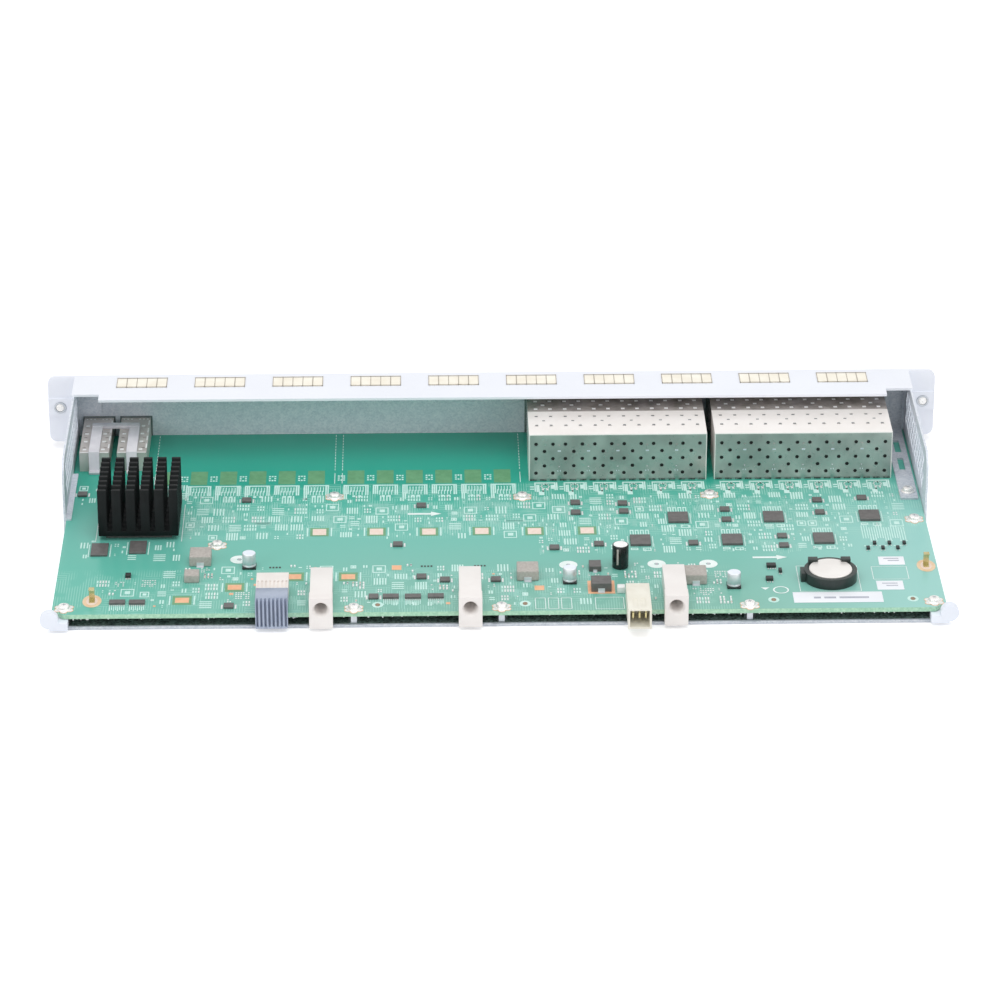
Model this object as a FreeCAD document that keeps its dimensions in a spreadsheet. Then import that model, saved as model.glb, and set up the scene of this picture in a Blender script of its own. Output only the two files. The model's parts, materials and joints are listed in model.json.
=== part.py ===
import FreeCAD, Part
import os

import Sketcher

# Switch line card: a 440 mm wide chassis card with two stacks of transceiver cages, two single
# cages, a board on a galvanised tray, rear guide sockets and connectors, and ejectors in front.
# Millimetres. X is right seen from the front, Y runs to the rear and Z is up. The origin is at
# mid width, at the back face of the front panel, on the plane that the tray rests on.

doc = FreeCAD.newDocument("switch_line_card")
sheet = doc.addObject("Spreadsheet::Sheet", "Dims")
nodes = {}
AXIS_TURNS = {
    "X": FreeCAD.Rotation(FreeCAD.Vector(0, 1, 0), 90),
    "Y": FreeCAD.Rotation(FreeCAD.Vector(1, 0, 0), -90),
    "Z": FreeCAD.Rotation(),
}


class Size:
    """A length with its value in mm and the expression that gives it from the sheet."""

    def __init__(self, value, text):
        self.value = value
        self.text = text

    def __add__(self, other):
        other = as_size(other)
        return Size(self.value + other.value, f"({self.text} + {other.text})")

    def __radd__(self, other):
        return as_size(other) + self

    def __sub__(self, other):
        other = as_size(other)
        return Size(self.value - other.value, f"({self.text} - {other.text})")

    def __rsub__(self, other):
        return as_size(other) - self

    def __mul__(self, other):
        other = as_size(other)
        return Size(self.value * other.value, f"({self.text} * {other.text})")

    def __rmul__(self, other):
        return as_size(other) * self

    def __truediv__(self, other):
        other = as_size(other)
        return Size(self.value / other.value, f"({self.text} / {other.text})")

    def __neg__(self):
        return 0 - self


def as_size(number):
    """Any number as a Size, so that plain counts and named lengths mix."""
    if isinstance(number, Size):
        return number
    return Size(float(number), f"({float(number):.6f})")


def dim(alias, value):
    """Write one driving dimension into the sheet and return it as a Size."""
    row = len(dim.rows) + 1
    dim.rows.append(alias)
    sheet.set(f"A{row}", alias)
    sheet.set(f"B{row}", str(value))
    sheet.setAlias(f"B{row}", alias)
    return Size(float(value), f"Dims.{alias}")


dim.rows = []

# Front panel: sheet with a top flange and an ear at each end.
panel_head = dim("panel_head", 5.8)
panel_end_gap = dim("panel_end_gap", 0.3)
panel_thick = dim("panel_thick", 2.0)
panel_foot = dim("panel_foot", 1.0)
ear_width = dim("ear_width", 13.5)
ear_foot = dim("ear_foot", 4.0)
ear_corner = dim("ear_corner", 4.0)
ear_pad_height = dim("ear_pad_height", 9.6)
ear_pad_thick = dim("ear_pad_thick", 0.8)
flange_depth = dim("flange_depth", 28.7)
flange_end_depth = dim("flange_end_depth", 21.8)
flange_end_width = dim("flange_end_width", 13.4)
flange_thick = dim("flange_thick", 1.2)
finger_end = dim("finger_end", 33.79)
finger_window_width = dim("finger_window_width", 24.8)
finger_window_depth = dim("finger_window_depth", 11.6)
finger_window_start = dim("finger_window_start", 2.2)
finger_gap = dim("finger_gap", 0.4)
finger_sheet = dim("finger_sheet", 0.3)
finger_lap = dim("finger_lap", 1.2)
finger_proud = dim("finger_proud", 0.25)
finger_windows = 10
fingers_each = 5

# Tray, inner liner and side walls of galvanised sheet.
tray_overhang = dim("tray_overhang", 0.4)
tray_thick = dim("tray_thick", 1.2)
tray_rim = dim("tray_rim", 4.6)
lip_height = dim("lip_height", 2.6)
lip_inset = dim("lip_inset", 13.0)
lip_notch = dim("lip_notch", 8.4)
lip_gap = dim("lip_gap", 0.6)
liner_thick = dim("liner_thick", 1.0)
wall_thick = dim("wall_thick", 1.0)
wall_depth = dim("wall_depth", 99.0)
wall_corner = dim("wall_corner", 8.0)
wall_tab_gap = dim("wall_tab_gap", 0.5)
wall_ledge = dim("wall_ledge", 2.6)
wall_ledge_start = dim("wall_ledge_start", 48.0)
vent_pitch = dim("vent_pitch", 6.6)
vent_rise = dim("vent_rise", 9.2)
vent_width = dim("vent_width", 5.4)
vent_height = dim("vent_height", 7.6)
vent_start = dim("vent_start", 10.0)
vent_base = dim("vent_base", 17.0)
vent_margin = dim("vent_margin", 8.0)
lug_width = dim("lug_width", 12.6)
lug_reach = dim("lug_reach", 3.8)
lug_height = dim("lug_height", 8.4)
lug_rise = dim("lug_rise", 6.5)
lug_outset = dim("lug_outset", 0.8)

# Board and what fastens it.
board_width = dim("board_width", 410.0)
board_depth = dim("board_depth", 197.6)
board_thick = dim("board_thick", 2.2)
board_lift = dim("board_lift", 4.2)
board_corner = dim("board_corner", 5.2)
side_gap = dim("side_gap", 0.2)
screw_radius = dim("screw_radius", 1.45)
screw_hole_radius = dim("screw_hole_radius", 1.7)
screw_head_radius = dim("screw_head_radius", 3.2)
screw_head_height = dim("screw_head_height", 2.3)
standoff_radius = dim("standoff_radius", 2.7)
screw_edge_inset = dim("screw_edge_inset", 5.5)
screw_rear_inset = dim("screw_rear_inset", 6.0)
rear_row_inset = dim("rear_row_inset", 3.6)
bracket_clear = dim("bracket_clear", 1.65)
bracket_shift = dim("bracket_shift", 0.5)
bracket_reach = dim("bracket_reach", 76.0)
bracket_slot_start = dim("bracket_slot_start", 24.0)

# Stacked transceiver cages.
port_pitch = dim("port_pitch", 14.25)
cage_sheet = dim("cage_sheet", 0.4)
stack_rear = dim("stack_rear", 58.4)
stack_front = dim("stack_front", 2.8)
stack_margin = dim("stack_margin", 11.8)
stack_gap = dim("stack_gap", 3.8)
port_height = dim("port_height", 9.4)
port_middle = dim("port_middle", 5.2)
stack_hole_radius = dim("stack_hole_radius", 1.0)
stack_hole_offset = dim("stack_hole_offset", 4.1)
stack_hole_rise = dim("stack_hole_rise", 3.85)
connector_depth = dim("connector_depth", 10.5)
connector_side_gap = dim("connector_side_gap", 0.6)
nose_depth = dim("nose_depth", 3.0)
nose_height = dim("nose_height", 3.6)
panel_port_gap = dim("panel_port_gap", 0.4)

# Single transceiver cages and their light pipe.
plus_width = dim("plus_width", 14.4)
plus_rear = dim("plus_rear", 43.3)
plus_margin = dim("plus_margin", 10.0)
plus_pitch = dim("plus_pitch", 18.3)
pipe_thick = dim("pipe_thick", 1.3)
pipe_arm_width = dim("pipe_arm_width", 5.2)
pipe_bar_depth = dim("pipe_bar_depth", 4.0)
pipe_bar_start = dim("pipe_bar_start", 11.0)
pipe_foot_gap = dim("pipe_foot_gap", 1.0)

# Heat sink and the chip below it.
sink_base = dim("sink_base", 2.5)
sink_height = dim("sink_height", 23.7)
pin_width = dim("pin_width", 4.2)
pin_depth = dim("pin_depth", 1.9)
pin_pitch_x = dim("pin_pitch_x", 6.7)
pin_pitch_y = dim("pin_pitch_y", 5.13)
pin_columns = 6
pin_rows = 8
switch_chip_width = dim("switch_chip_width", 31.0)
switch_chip_height = dim("switch_chip_height", 2.4)

# Rear guide sockets and connectors.
guide_step = dim("guide_step", 0.3)
guide_length = dim("guide_length", 32.5)
guide_height = dim("guide_height", 9.4)
guide_hook_gap = dim("guide_hook_gap", 0.4)
guide_nose_width = dim("guide_nose_width", 10.8)
guide_nose_depth = dim("guide_nose_depth", 7.5)
guide_bore_radius = dim("guide_bore_radius", 3.1)
guide_mouth_flare = dim("guide_mouth_flare", 0.8)
guide_mouth_depth = dim("guide_mouth_depth", 1.2)
guide_bore_depth = dim("guide_bore_depth", 24.0)
guide_floor = dim("guide_floor", 0.5)
rear_reach = dim("rear_reach", 4.7)
hook_gap = dim("hook_gap", 0.3)
signal_width = dim("signal_width", 14.8)
signal_height = dim("signal_height", 8.8)
signal_hook_gap = dim("signal_hook_gap", 0.7)
signal_length = dim("signal_length", 28.7)
signal_cap_length = dim("signal_cap_length", 15.8)
signal_slot_pitch = dim("signal_slot_pitch", 1.85)
signal_slot_width = dim("signal_slot_width", 0.95)
signal_slot_depth = dim("signal_slot_depth", 2.6)
signal_slots = 8
power_width = dim("power_width", 10.8)
power_height = dim("power_height", 7.8)
power_seat = dim("power_seat", 11.8)
power_length = dim("power_length", 26.9)
power_wall = dim("power_wall", 0.9)
power_cavity_depth = dim("power_cavity_depth", 18.0)
power_recess_length = dim("power_recess_length", 9.0)
power_recess_depth = dim("power_recess_depth", 0.3)
blade_width = dim("blade_width", 0.8)
blade_height = dim("blade_height", 2.8)
blade_length = dim("blade_length", 13.0)
blade_pitch = dim("blade_pitch", 2.9)
blade_gap = dim("blade_gap", 0.4)

# Coin cell and its holder.
cell_radius = dim("cell_radius", 10.0)
cell_thick = dim("cell_thick", 3.2)
cell_lift = dim("cell_lift", 2.4)
holder_wall = dim("holder_wall", 2.1)
holder_height = dim("holder_height", 5.0)
holder_gap = dim("holder_gap", 0.2)
holder_floor = dim("holder_floor", 0.8)
claw_rise = dim("claw_rise", 1.2)

# Captive screws and ejector levers on the ears.
captive_rise = dim("captive_rise", 22.8)
captive_inset = dim("captive_inset", 5.8)
captive_radius = dim("captive_radius", 2.0)
captive_travel = dim("captive_travel", 5.0)
captive_head_radius = dim("captive_head_radius", 3.8)
captive_head_length = dim("captive_head_length", 5.0)
captive_slot = dim("captive_slot", 1.2)
captive_washer_radius = dim("captive_washer_radius", 3.4)
captive_washer_thick = dim("captive_washer_thick", 0.8)
ferrule_radius = dim("ferrule_radius", 3.1)
ferrule_flange = dim("ferrule_flange", 3.8)
ferrule_proud = dim("ferrule_proud", 1.7)
ferrule_tail = dim("ferrule_tail", 0.4)
captive_rest_gap = dim("captive_rest_gap", 0.3)
captive_tip = dim("captive_tip", 0.2)
running_gap = dim("running_gap", 0.08)
lever_gap = dim("lever_gap", 0.4)
lever_thick = dim("lever_thick", 5.0)
lever_inset = dim("lever_inset", 0.35)
lever_head_gap = dim("lever_head_gap", 0.5)
lever_swing_gap = dim("lever_swing_gap", 3.4)
lever_arm_gap = dim("lever_arm_gap", 0.9)
lever_top_gap = dim("lever_top_gap", 0.6)
lever_grip = dim("lever_grip", 3.0)
lever_pivot_rise = dim("lever_pivot_rise", 8.5)
lever_pivot_reach = dim("lever_pivot_reach", 4.0)
lever_pin_radius = dim("lever_pin_radius", 1.2)
lever_boss_radius = dim("lever_boss_radius", 2.8)
lug_sheet = dim("lug_sheet", 1.5)

# Parts that stand on the board.
big_chip_width = dim("big_chip_width", 9.7)
big_chip_depth = dim("big_chip_depth", 10.5)
big_chip_height = dim("big_chip_height", 1.3)
memory_chip_width = dim("memory_chip_width", 8.0)
memory_chip_depth = dim("memory_chip_depth", 12.6)
small_chip_width = dim("small_chip_width", 4.6)
small_chip_depth = dim("small_chip_depth", 4.4)
small_chip_height = dim("small_chip_height", 1.1)
wide_chip_width = dim("wide_chip_width", 7.4)
wide_chip_depth = dim("wide_chip_depth", 3.6)
coil_width = dim("coil_width", 10.1)
coil_depth = dim("coil_depth", 10.6)
coil_height = dim("coil_height", 5.2)
choke_width = dim("choke_width", 7.0)
choke_height = dim("choke_height", 4.0)
can_radius = dim("can_radius", 3.2)
can_height = dim("can_height", 7.4)
can_foot = dim("can_foot", 1.2)
tall_can_radius = dim("tall_can_radius", 3.9)
tall_can_height = dim("tall_can_height", 11.8)
transistor_width = dim("transistor_width", 9.3)
transistor_depth = dim("transistor_depth", 8.4)
transistor_height = dim("transistor_height", 4.4)
diode_width = dim("diode_width", 5.6)
diode_depth = dim("diode_depth", 7.0)
diode_height = dim("diode_height", 2.8)
cube_width = dim("cube_width", 3.6)
cube_height = dim("cube_height", 3.2)
spring_width = dim("spring_width", 2.6)
spring_height = dim("spring_height", 6.5)
spring_sheet = dim("spring_sheet", 0.5)

# How far a cutting tool reaches past what it cuts.
past = dim("past", 1.0)

# Places on the board: X as a share of its half width and Y as a share of its depth.
REAR_SCREWS = [0.3263, -0.0039, -0.559]
GUIDES = [0.399024, 0.065854, -0.393171]
SIGNAL = 0.5088
POWER = -0.3088
SINK = (0.8254, 0.5137)
CELL = (-0.7507, 0.8456)
INNER_SCREWS = [(0.3776, 0.375), (-0.0639, 0.3826), (-0.5049, 0.3796), (0.6434, 0.6407)]
EDGE_SCREW = 0.5273
BIG_CHIPS = [(-0.4239, 0.5127), (-0.3302, 0.6377), (-0.542, 0.6377), (-0.6463, 0.5132),
             (-0.7532, 0.6346), (-0.8707, 0.5101)]
MEMORY_CHIPS = [(0.9122, 0.6635), (0.8249, 0.6518)]
SMALL_CHIPS = [(-0.1873, 0.4221), (-0.1868, 0.4777), (-0.298, 0.4281), (-0.299, 0.4732),
               (-0.5356, 0.4671), (-0.5361, 0.5243), (-0.2341, 0.6533), (-0.1312, 0.6711),
               (-0.4517, 0.6523), (-0.8615, 0.4079), (-0.7556, 0.4185), (-0.7566, 0.4879),
               (-0.6585, 0.6179), (-0.659, 0.6695), (0.1737, 0.4312), (0.2283, 0.6463),
               (0.1215, 0.8386), (0.0063, 0.8391), (0.1746, 0.8214), (0.6059, 0.9661),
               (0.2824, 0.9246), (0.5834, 0.3932), (0.9712, 0.3517)]
WIDE_CHIPS = [(0.2439, 0.9236), (0.1941, 0.9246), (0.1429, 0.9236), (0.8561, 0.9418),
              (0.8117, 0.9428)]
COILS = [(0.678, 0.7267), (-0.0659, 0.8188)]
GUIDE_COIL = 0.8462
CHOKE = (0.6941, 0.8234)
CANS = [(0.5663, 0.7571), (-0.1605, 0.8497), (-0.5298, 0.8816)]
TALL_CAN = (-0.278, 0.7733)
TRANSISTOR = (-0.2302, 0.8846)
DIODE = (-0.22, 0.7814)
CUBE = (-0.2741, 0.9059)
SPRINGS = [(0.9132, 0.9317), (-0.9746, 0.7819)]

# Where things stand, worked out from the sizes above.
board_base = tray_thick + board_lift
board_top = board_base + board_thick
board_front = liner_thick + side_gap
board_rear = board_front + board_depth
board_half = board_width / 2
rear_face = board_rear + rear_reach
tray_depth = board_rear + tray_overhang
wall_inner = board_half + side_gap
body_half = wall_inner + wall_thick + panel_end_gap
panel_half = body_half + ear_width
stack_height = port_height * 2 + port_middle + cage_sheet
stack_width = port_pitch * 6 + cage_sheet * 2
stack_top = board_top + stack_height
flange_under = stack_top + panel_head
panel_height = flange_under + flange_thick
finger_pitch = (body_half - finger_end) * 2 / (finger_windows - 1)
wall_tab = stack_margin + side_gap - wall_tab_gap
vent_reach = wall_depth - vent_start - vent_margin
vent_columns = int(vent_reach.value / vent_pitch.value)
vent_climb = flange_under - wall_thick - vent_base - (vent_height + vent_rise) / 2
vent_rows = int(vent_climb.value / vent_rise.value) + 1
bracket_x = stack_margin / 2 - bracket_shift - board_half
bracket_width = stack_margin - bracket_clear * 2
plus_height = port_height + cage_sheet
plus_top = board_top + plus_height
lug_front = board_rear - screw_rear_inset + standoff_radius + side_gap
lug_rear = tray_depth + lug_reach
guide_width = guide_nose_width - guide_step * 2
guide_drop = board_top - tray_thick - guide_hook_gap
guide_mouth_radius = guide_bore_radius + guide_mouth_flare
guide_axis_rise = guide_bore_radius + guide_floor
signal_drop = board_top - tray_thick - signal_hook_gap
signal_x = board_half * SIGNAL
power_x = board_half * POWER
power_start = board_rear - power_seat
captive_x = panel_half - captive_inset
lever_width = ear_width - lever_inset * 2


def on_board(spot):
    """Place on the board from its shares of the half width and of the depth."""
    return board_half * spot[0], board_front + board_depth * spot[1]


def bind(obj, prop, size):
    """Tie one property of an object to the sheet."""
    obj.setExpression(prop, as_size(size).text)


def place(obj, x, y, z):
    """Tie the place of an object to the sheet."""
    bind(obj, "Placement.Base.x", x)
    bind(obj, "Placement.Base.y", y)
    bind(obj, "Placement.Base.z", z)
    return obj


def box(name, corner, sides):
    """Block from its low corner and its three sides."""
    obj = doc.addObject("Part::Box", name)
    for prop, side in zip(("Length", "Width", "Height"), sides):
        bind(obj, prop, side)
    return place(obj, *corner)


def centred_box(name, centre, sides):
    """Block from the centre of its bottom face and its three sides."""
    corner = (centre[0] - sides[0] / 2, centre[1] - sides[1] / 2, centre[2])
    return box(name, corner, sides)


def cylinder(name, base, radius, length, axis="Z"):
    """Round bar that starts at base and runs along one axis."""
    obj = doc.addObject("Part::Cylinder", name)
    obj.Placement = FreeCAD.Placement(FreeCAD.Vector(), AXIS_TURNS[axis])
    bind(obj, "Radius", radius)
    bind(obj, "Height", length)
    return place(obj, *base)


def cone(name, base, radius, end_radius, length, axis="Z"):
    """Taper that starts at base and runs along one axis."""
    obj = doc.addObject("Part::Cone", name)
    obj.Placement = FreeCAD.Placement(FreeCAD.Vector(), AXIS_TURNS[axis])
    bind(obj, "Radius1", radius)
    bind(obj, "Radius2", end_radius)
    bind(obj, "Height", length)
    return place(obj, *base)


def together(name, parts):
    """Several solids that stay apart, as one object."""
    obj = doc.addObject("Part::Compound", name)
    obj.Links = parts
    return obj


def fuse(name, parts):
    """Several solids that meet, joined into one."""
    obj = doc.addObject("Part::MultiFuse", name)
    obj.Shapes = parts
    obj.Refine = True
    return obj


def cut(name, base, tools):
    """One solid with others, which stay clear of each other, taken out of it."""
    obj = doc.addObject("Part::Cut", name)
    obj.Base = base
    obj.Tool = tools[0] if len(tools) == 1 else together(f"{name}_tools", tools)
    return obj


def mirror(name, source):
    """The same piece on the other side of the card."""
    obj = doc.addObject("Part::Mirroring", name)
    obj.Source = source
    obj.Base = (0, 0, 0)
    obj.Normal = (1, 0, 0)
    return obj


def node(obj, name):
    """Give a finished sub-part its name."""
    obj.Label = name
    nodes[name] = obj
    return obj


def copies(name, seed, spots):
    """Identical pieces at several places, as one group of separate solids."""
    doc.recompute()
    group = doc.addObject("Part::Feature", name)
    solids = []
    for spot in spots:
        solid = seed.Shape.copy()
        solid.translate(FreeCAD.Vector(*(as_size(value).value for value in spot)))
        solids.append(solid)
    group.Shape = Part.makeCompound(solids)
    return node(group, name)


def origin_plane(body, role):
    """One of the body's own origin planes."""
    return next(item for item in body.Origin.OriginFeatures if item.Role == role)


def sketch(body, name, role, offset=0):
    """Empty sketch on an origin plane of the body, moved along its normal."""
    made = body.newObject("Sketcher::SketchObject", name)
    made.AttachmentSupport = [(origin_plane(body, role), "")]
    made.MapMode = "FlatFace"
    bind(made, "AttachmentOffset.Base.z", offset)
    return made


def fix_point(made, line, across, up):
    """Hold the start of one sketch line at a place tied to the sheet."""
    for kind, size in (("DistanceX", across), ("DistanceY", up)):
        number = made.addConstraint(Sketcher.Constraint(kind, -1, 1, line, 1, as_size(size).value))
        bind(made, f"Constraints[{number}]", size)


def outline(made, points):
    """Closed outline through the points, each tied to the sheet."""
    first = made.GeometryCount
    corners = [FreeCAD.Vector(as_size(a).value, as_size(b).value, 0) for a, b in points]
    for number, corner in enumerate(corners):
        following = corners[(number + 1) % len(corners)]
        made.addGeometry(Part.LineSegment(corner, following), False)
    for number, (across, up) in enumerate(points):
        following = first + (number + 1) % len(points)
        made.addConstraint(Sketcher.Constraint("Coincident", first + number, 2, following, 1))
        fix_point(made, first + number, across, up)


def rectangle(made, low, high):
    """Closed rectangle from its low and high corners."""
    outline(made, [low, (high[0], low[1]), high, (low[0], high[1])])


def circle(made, across, up, radius):
    """Circle tied to the sheet."""
    centre = FreeCAD.Vector(as_size(across).value, as_size(up).value, 0)
    normal = FreeCAD.Vector(0, 0, 1)
    index = made.addGeometry(Part.Circle(centre, normal, as_size(radius).value), False)
    number = made.addConstraint(Sketcher.Constraint("Radius", index, as_size(radius).value))
    bind(made, f"Constraints[{number}]", radius)
    for kind, size in (("DistanceX", across), ("DistanceY", up)):
        number = made.addConstraint(Sketcher.Constraint(kind, -1, 1, index, 3, as_size(size).value))
        bind(made, f"Constraints[{number}]", size)


def pad(body, made, length, reverse=False):
    """Pad a sketch by a bound length."""
    feature = body.newObject("PartDesign::Pad", f"{made.Name}_pad")
    feature.Profile = made
    bind(feature, "Length", length)
    feature.Reversed = reverse
    made.Visibility = False
    return feature


def pocket(body, made, length):
    """Cut a sketch to both sides of its plane, by the bound length in all."""
    feature = body.newObject("PartDesign::Pocket", f"{made.Name}_pocket")
    feature.Profile = made
    bind(feature, "Length", length)
    feature.Midplane = True
    return feature


def repeat(body, feature, made, axis, reach, count):
    """Repeat a feature along one axis of its sketch, over the bound reach."""
    pattern = body.newObject("PartDesign::LinearPattern", f"{feature.Name}_row_{axis[0]}")
    pattern.Originals = [feature]
    pattern.Direction = (made, [axis])
    bind(pattern, "Length", reach)
    pattern.Occurrences = count
    body.Tip = pattern
    return pattern


def spread(body, feature, made, name, across, up):
    """Repeat a feature in a grid; across and up each give a count and a pitch."""
    grid = body.newObject("PartDesign::MultiTransform", name)
    grid.Originals = [feature]
    rows = []
    for axis, (count, pitch) in (("H_Axis", across), ("V_Axis", up)):
        row = body.newObject("PartDesign::LinearPattern", f"{name}_{axis}")
        row.Direction = (made, [axis])
        bind(row, "Length", pitch * (count - 1))
        row.Occurrences = count
        rows.append(row)
    grid.Transformations = rows
    body.Tip = grid


def round_edges(body, feature, test, radius, name):
    """Fillet the edges of a feature whose middle passes the test."""
    doc.recompute()
    names = []
    for number, edge in enumerate(feature.Shape.Edges, 1):
        middle = edge.valueAt((edge.FirstParameter + edge.LastParameter) / 2)
        if test(edge, middle):
            names.append(f"Edge{number}")
    fillet = body.newObject("PartDesign::Fillet", name)
    fillet.Base = (feature, names)
    bind(fillet, "Radius", radius)
    body.Tip = fillet
    return fillet


def stack_left_edge(number):
    """Low X of one of the two cage stacks, counted from the middle of the card."""
    return stack_margin - board_half + (stack_width + stack_gap) * (1 - number)


def plus_centre(number):
    """Centre of one of the two single cages, counted from the end of the card."""
    return board_half - plus_margin - plus_pitch * number


def port_centre(stack, column):
    """Centre of one column of ports in a stack."""
    return stack_left_edge(stack) + cage_sheet + port_pitch * (column + 0.5)


def port_openings(made):
    """The four port cut-outs that the panel and the liner share."""
    for stack in range(2):
        low = (stack_left_edge(stack) - panel_port_gap, board_top - panel_port_gap)
        high = (low[0] + stack_width + panel_port_gap * 2, stack_top + panel_port_gap)
        rectangle(made, low, high)
    for number in range(2):
        half = plus_width / 2 + panel_port_gap
        centre = plus_centre(number)
        low = (centre - half, board_top - panel_port_gap)
        rectangle(made, low, (centre + half, plus_top + panel_port_gap))


def front_panel():
    """Bent and punched panel: face, ears, top flange, ports and finger windows."""
    body = doc.addObject("PartDesign::Body", "front_panel")
    face = sketch(body, "panel_face", "XZ_Plane")
    half = panel_half
    outline(face, [
        (-half, ear_foot), (-body_half, ear_foot), (-body_half, panel_foot), (body_half, panel_foot),
        (body_half, ear_foot), (half, ear_foot), (half, panel_height), (-half, panel_height),
    ])
    pad(body, face, panel_thick)
    flange = sketch(body, "panel_flange", "XY_Plane", panel_height)
    step = body_half - flange_end_width
    outline(flange, [
        (-body_half, -panel_thick), (body_half, -panel_thick), (body_half, flange_end_depth),
        (step, flange_end_depth), (step, flange_depth), (-step, flange_depth),
        (-step, flange_end_depth), (-body_half, flange_end_depth),
    ])
    pad(body, flange, flange_thick, reverse=True)
    pads = sketch(body, "ear_pads", "XZ_Plane")
    pad_low = captive_rise - ear_pad_height / 2
    for side in (-1, 1):
        edges = sorted((side * body_half, side * half), key=lambda size: size.value)
        rectangle(pads, (edges[0], pad_low), (edges[1], pad_low + ear_pad_height))
    pad(body, pads, ear_pad_thick, reverse=True)
    ports = sketch(body, "panel_ports", "XZ_Plane")
    port_openings(ports)
    for side in (-1, 1):
        circle(ports, side * captive_x, captive_rise, ferrule_radius)
    pocket(body, ports, panel_thick * 4)
    window = sketch(body, "finger_window", "XY_Plane", panel_height)
    left = finger_end - body_half - finger_window_width / 2
    corner = (left + finger_window_width, finger_window_start + finger_window_depth)
    rectangle(window, (left, finger_window_start), corner)
    opening = pocket(body, window, flange_thick * 3)
    row = repeat(body, opening, window, "H_Axis", finger_pitch * (finger_windows - 1), finger_windows)
    ear_mid = half.value

    def is_ear_corner(edge, middle):
        upright = abs(abs(middle.x) - ear_mid) < 0.01 and abs(edge.Length - panel_thick.value) < 0.01
        return upright and abs(middle.y + panel_thick.value / 2) < 0.01

    round_edges(body, row, is_ear_corner, ear_corner, "ear_corners")
    return node(body, "front_panel")


def finger_strips():
    """Spring strips below the flange, whose fingers rise through its windows."""
    back = flange_under - finger_sheet
    base = centred_box("finger_base", (0, 0, back), (
        finger_window_width + finger_lap * 2, finger_window_depth + finger_lap * 2, finger_sheet))
    fingers = []
    width = (finger_window_width - finger_gap * (fingers_each + 1)) / fingers_each
    depth = finger_window_depth - finger_gap * 2
    rise = flange_thick + finger_proud
    for number in range(fingers_each):
        finger = doc.addObject("Part::Wedge", f"finger_{number}")
        slope = rise / 2
        values = {
            "Xmin": 0, "Xmax": width, "X2min": 0, "X2max": width, "Ymin": 0, "Ymax": rise,
            "Zmin": 0, "Zmax": depth, "Z2min": slope, "Z2max": depth - slope,
        }
        for prop, size in values.items():
            bind(finger, prop, size)
        finger.Placement = FreeCAD.Placement(
            FreeCAD.Vector(), FreeCAD.Rotation(FreeCAD.Vector(1, 0, 0), 90))
        left = -finger_window_width / 2 + finger_gap + (width + finger_gap) * number
        fingers.append(place(finger, left, depth / 2, flange_under))
    strip = fuse("finger_strip", [base] + fingers)
    middle = finger_window_start + finger_window_depth / 2
    first = finger_end - body_half
    spots = [(first + finger_pitch * number, middle, 0) for number in range(finger_windows)]
    return copies("emi_finger_strips", strip, spots)


def base_tray():
    """Folded tray: floor, low side rims and a rear lip notched at the standoffs."""
    body = doc.addObject("PartDesign::Body", "base_tray")
    half = wall_inner - side_gap / 2
    floor = sketch(body, "tray_floor", "XY_Plane")
    rectangle(floor, (-half, 0), (half, tray_depth))
    pad(body, floor, tray_thick)
    rims = sketch(body, "tray_rims", "XY_Plane")
    rim_front = liner_thick + wall_thick + side_gap
    rectangle(rims, (-half, rim_front), (tray_thick - half, lug_front - side_gap))
    rectangle(rims, (half - tray_thick, rim_front), (half, lug_front - side_gap))
    pad(body, rims, tray_rim)
    lip = sketch(body, "tray_lip", "XY_Plane")
    lip_end = board_half - lip_inset
    rectangle(lip, (-lip_end, tray_depth - tray_thick), (lip_end, tray_depth))
    pad(body, lip, lip_height)
    notches = sketch(body, "lip_notches", "XY_Plane", tray_thick + lip_height / 2)
    for x, width in lip_gaps():
        low = (x - width / 2, tray_depth - tray_thick * 2)
        rectangle(notches, low, (x + width / 2, tray_depth + tray_thick))
    pocket(body, notches, lip_height)
    return node(body, "base_tray")


def lip_gaps():
    """Centres and widths of the gaps in the lip, at the standoffs and the rear connectors."""
    gaps = [(board_half * x, lip_notch) for x in REAR_SCREWS]
    gaps += [(board_half * x, guide_nose_width + lip_gap * 2) for x in GUIDES]
    gaps.append((signal_x, signal_width + lip_gap * 2))
    gaps.append((power_x, power_width + lip_gap * 2))
    return gaps


def screw_spots():
    """Every board screw, as its place on the board."""
    edge = board_half - screw_edge_inset
    corner_y = board_rear - screw_rear_inset
    spots = [(edge, corner_y), (-edge, corner_y), (-edge, on_board((0, EDGE_SCREW))[1])]
    spots += [(board_half * x, board_rear - rear_row_inset) for x in REAR_SCREWS]
    spots += [on_board(spot) for spot in INNER_SCREWS]
    return spots


def liner():
    """Galvanised sheet behind the panel, with the same ports."""
    body = doc.addObject("PartDesign::Body", "front_liner")
    face = sketch(body, "liner_face", "XZ_Plane")
    rectangle(face, (-wall_inner, tray_thick), (wall_inner, flange_under - finger_sheet))
    port_openings(face)
    pad(body, face, liner_thick, reverse=True)
    return node(body, "front_liner")


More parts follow.
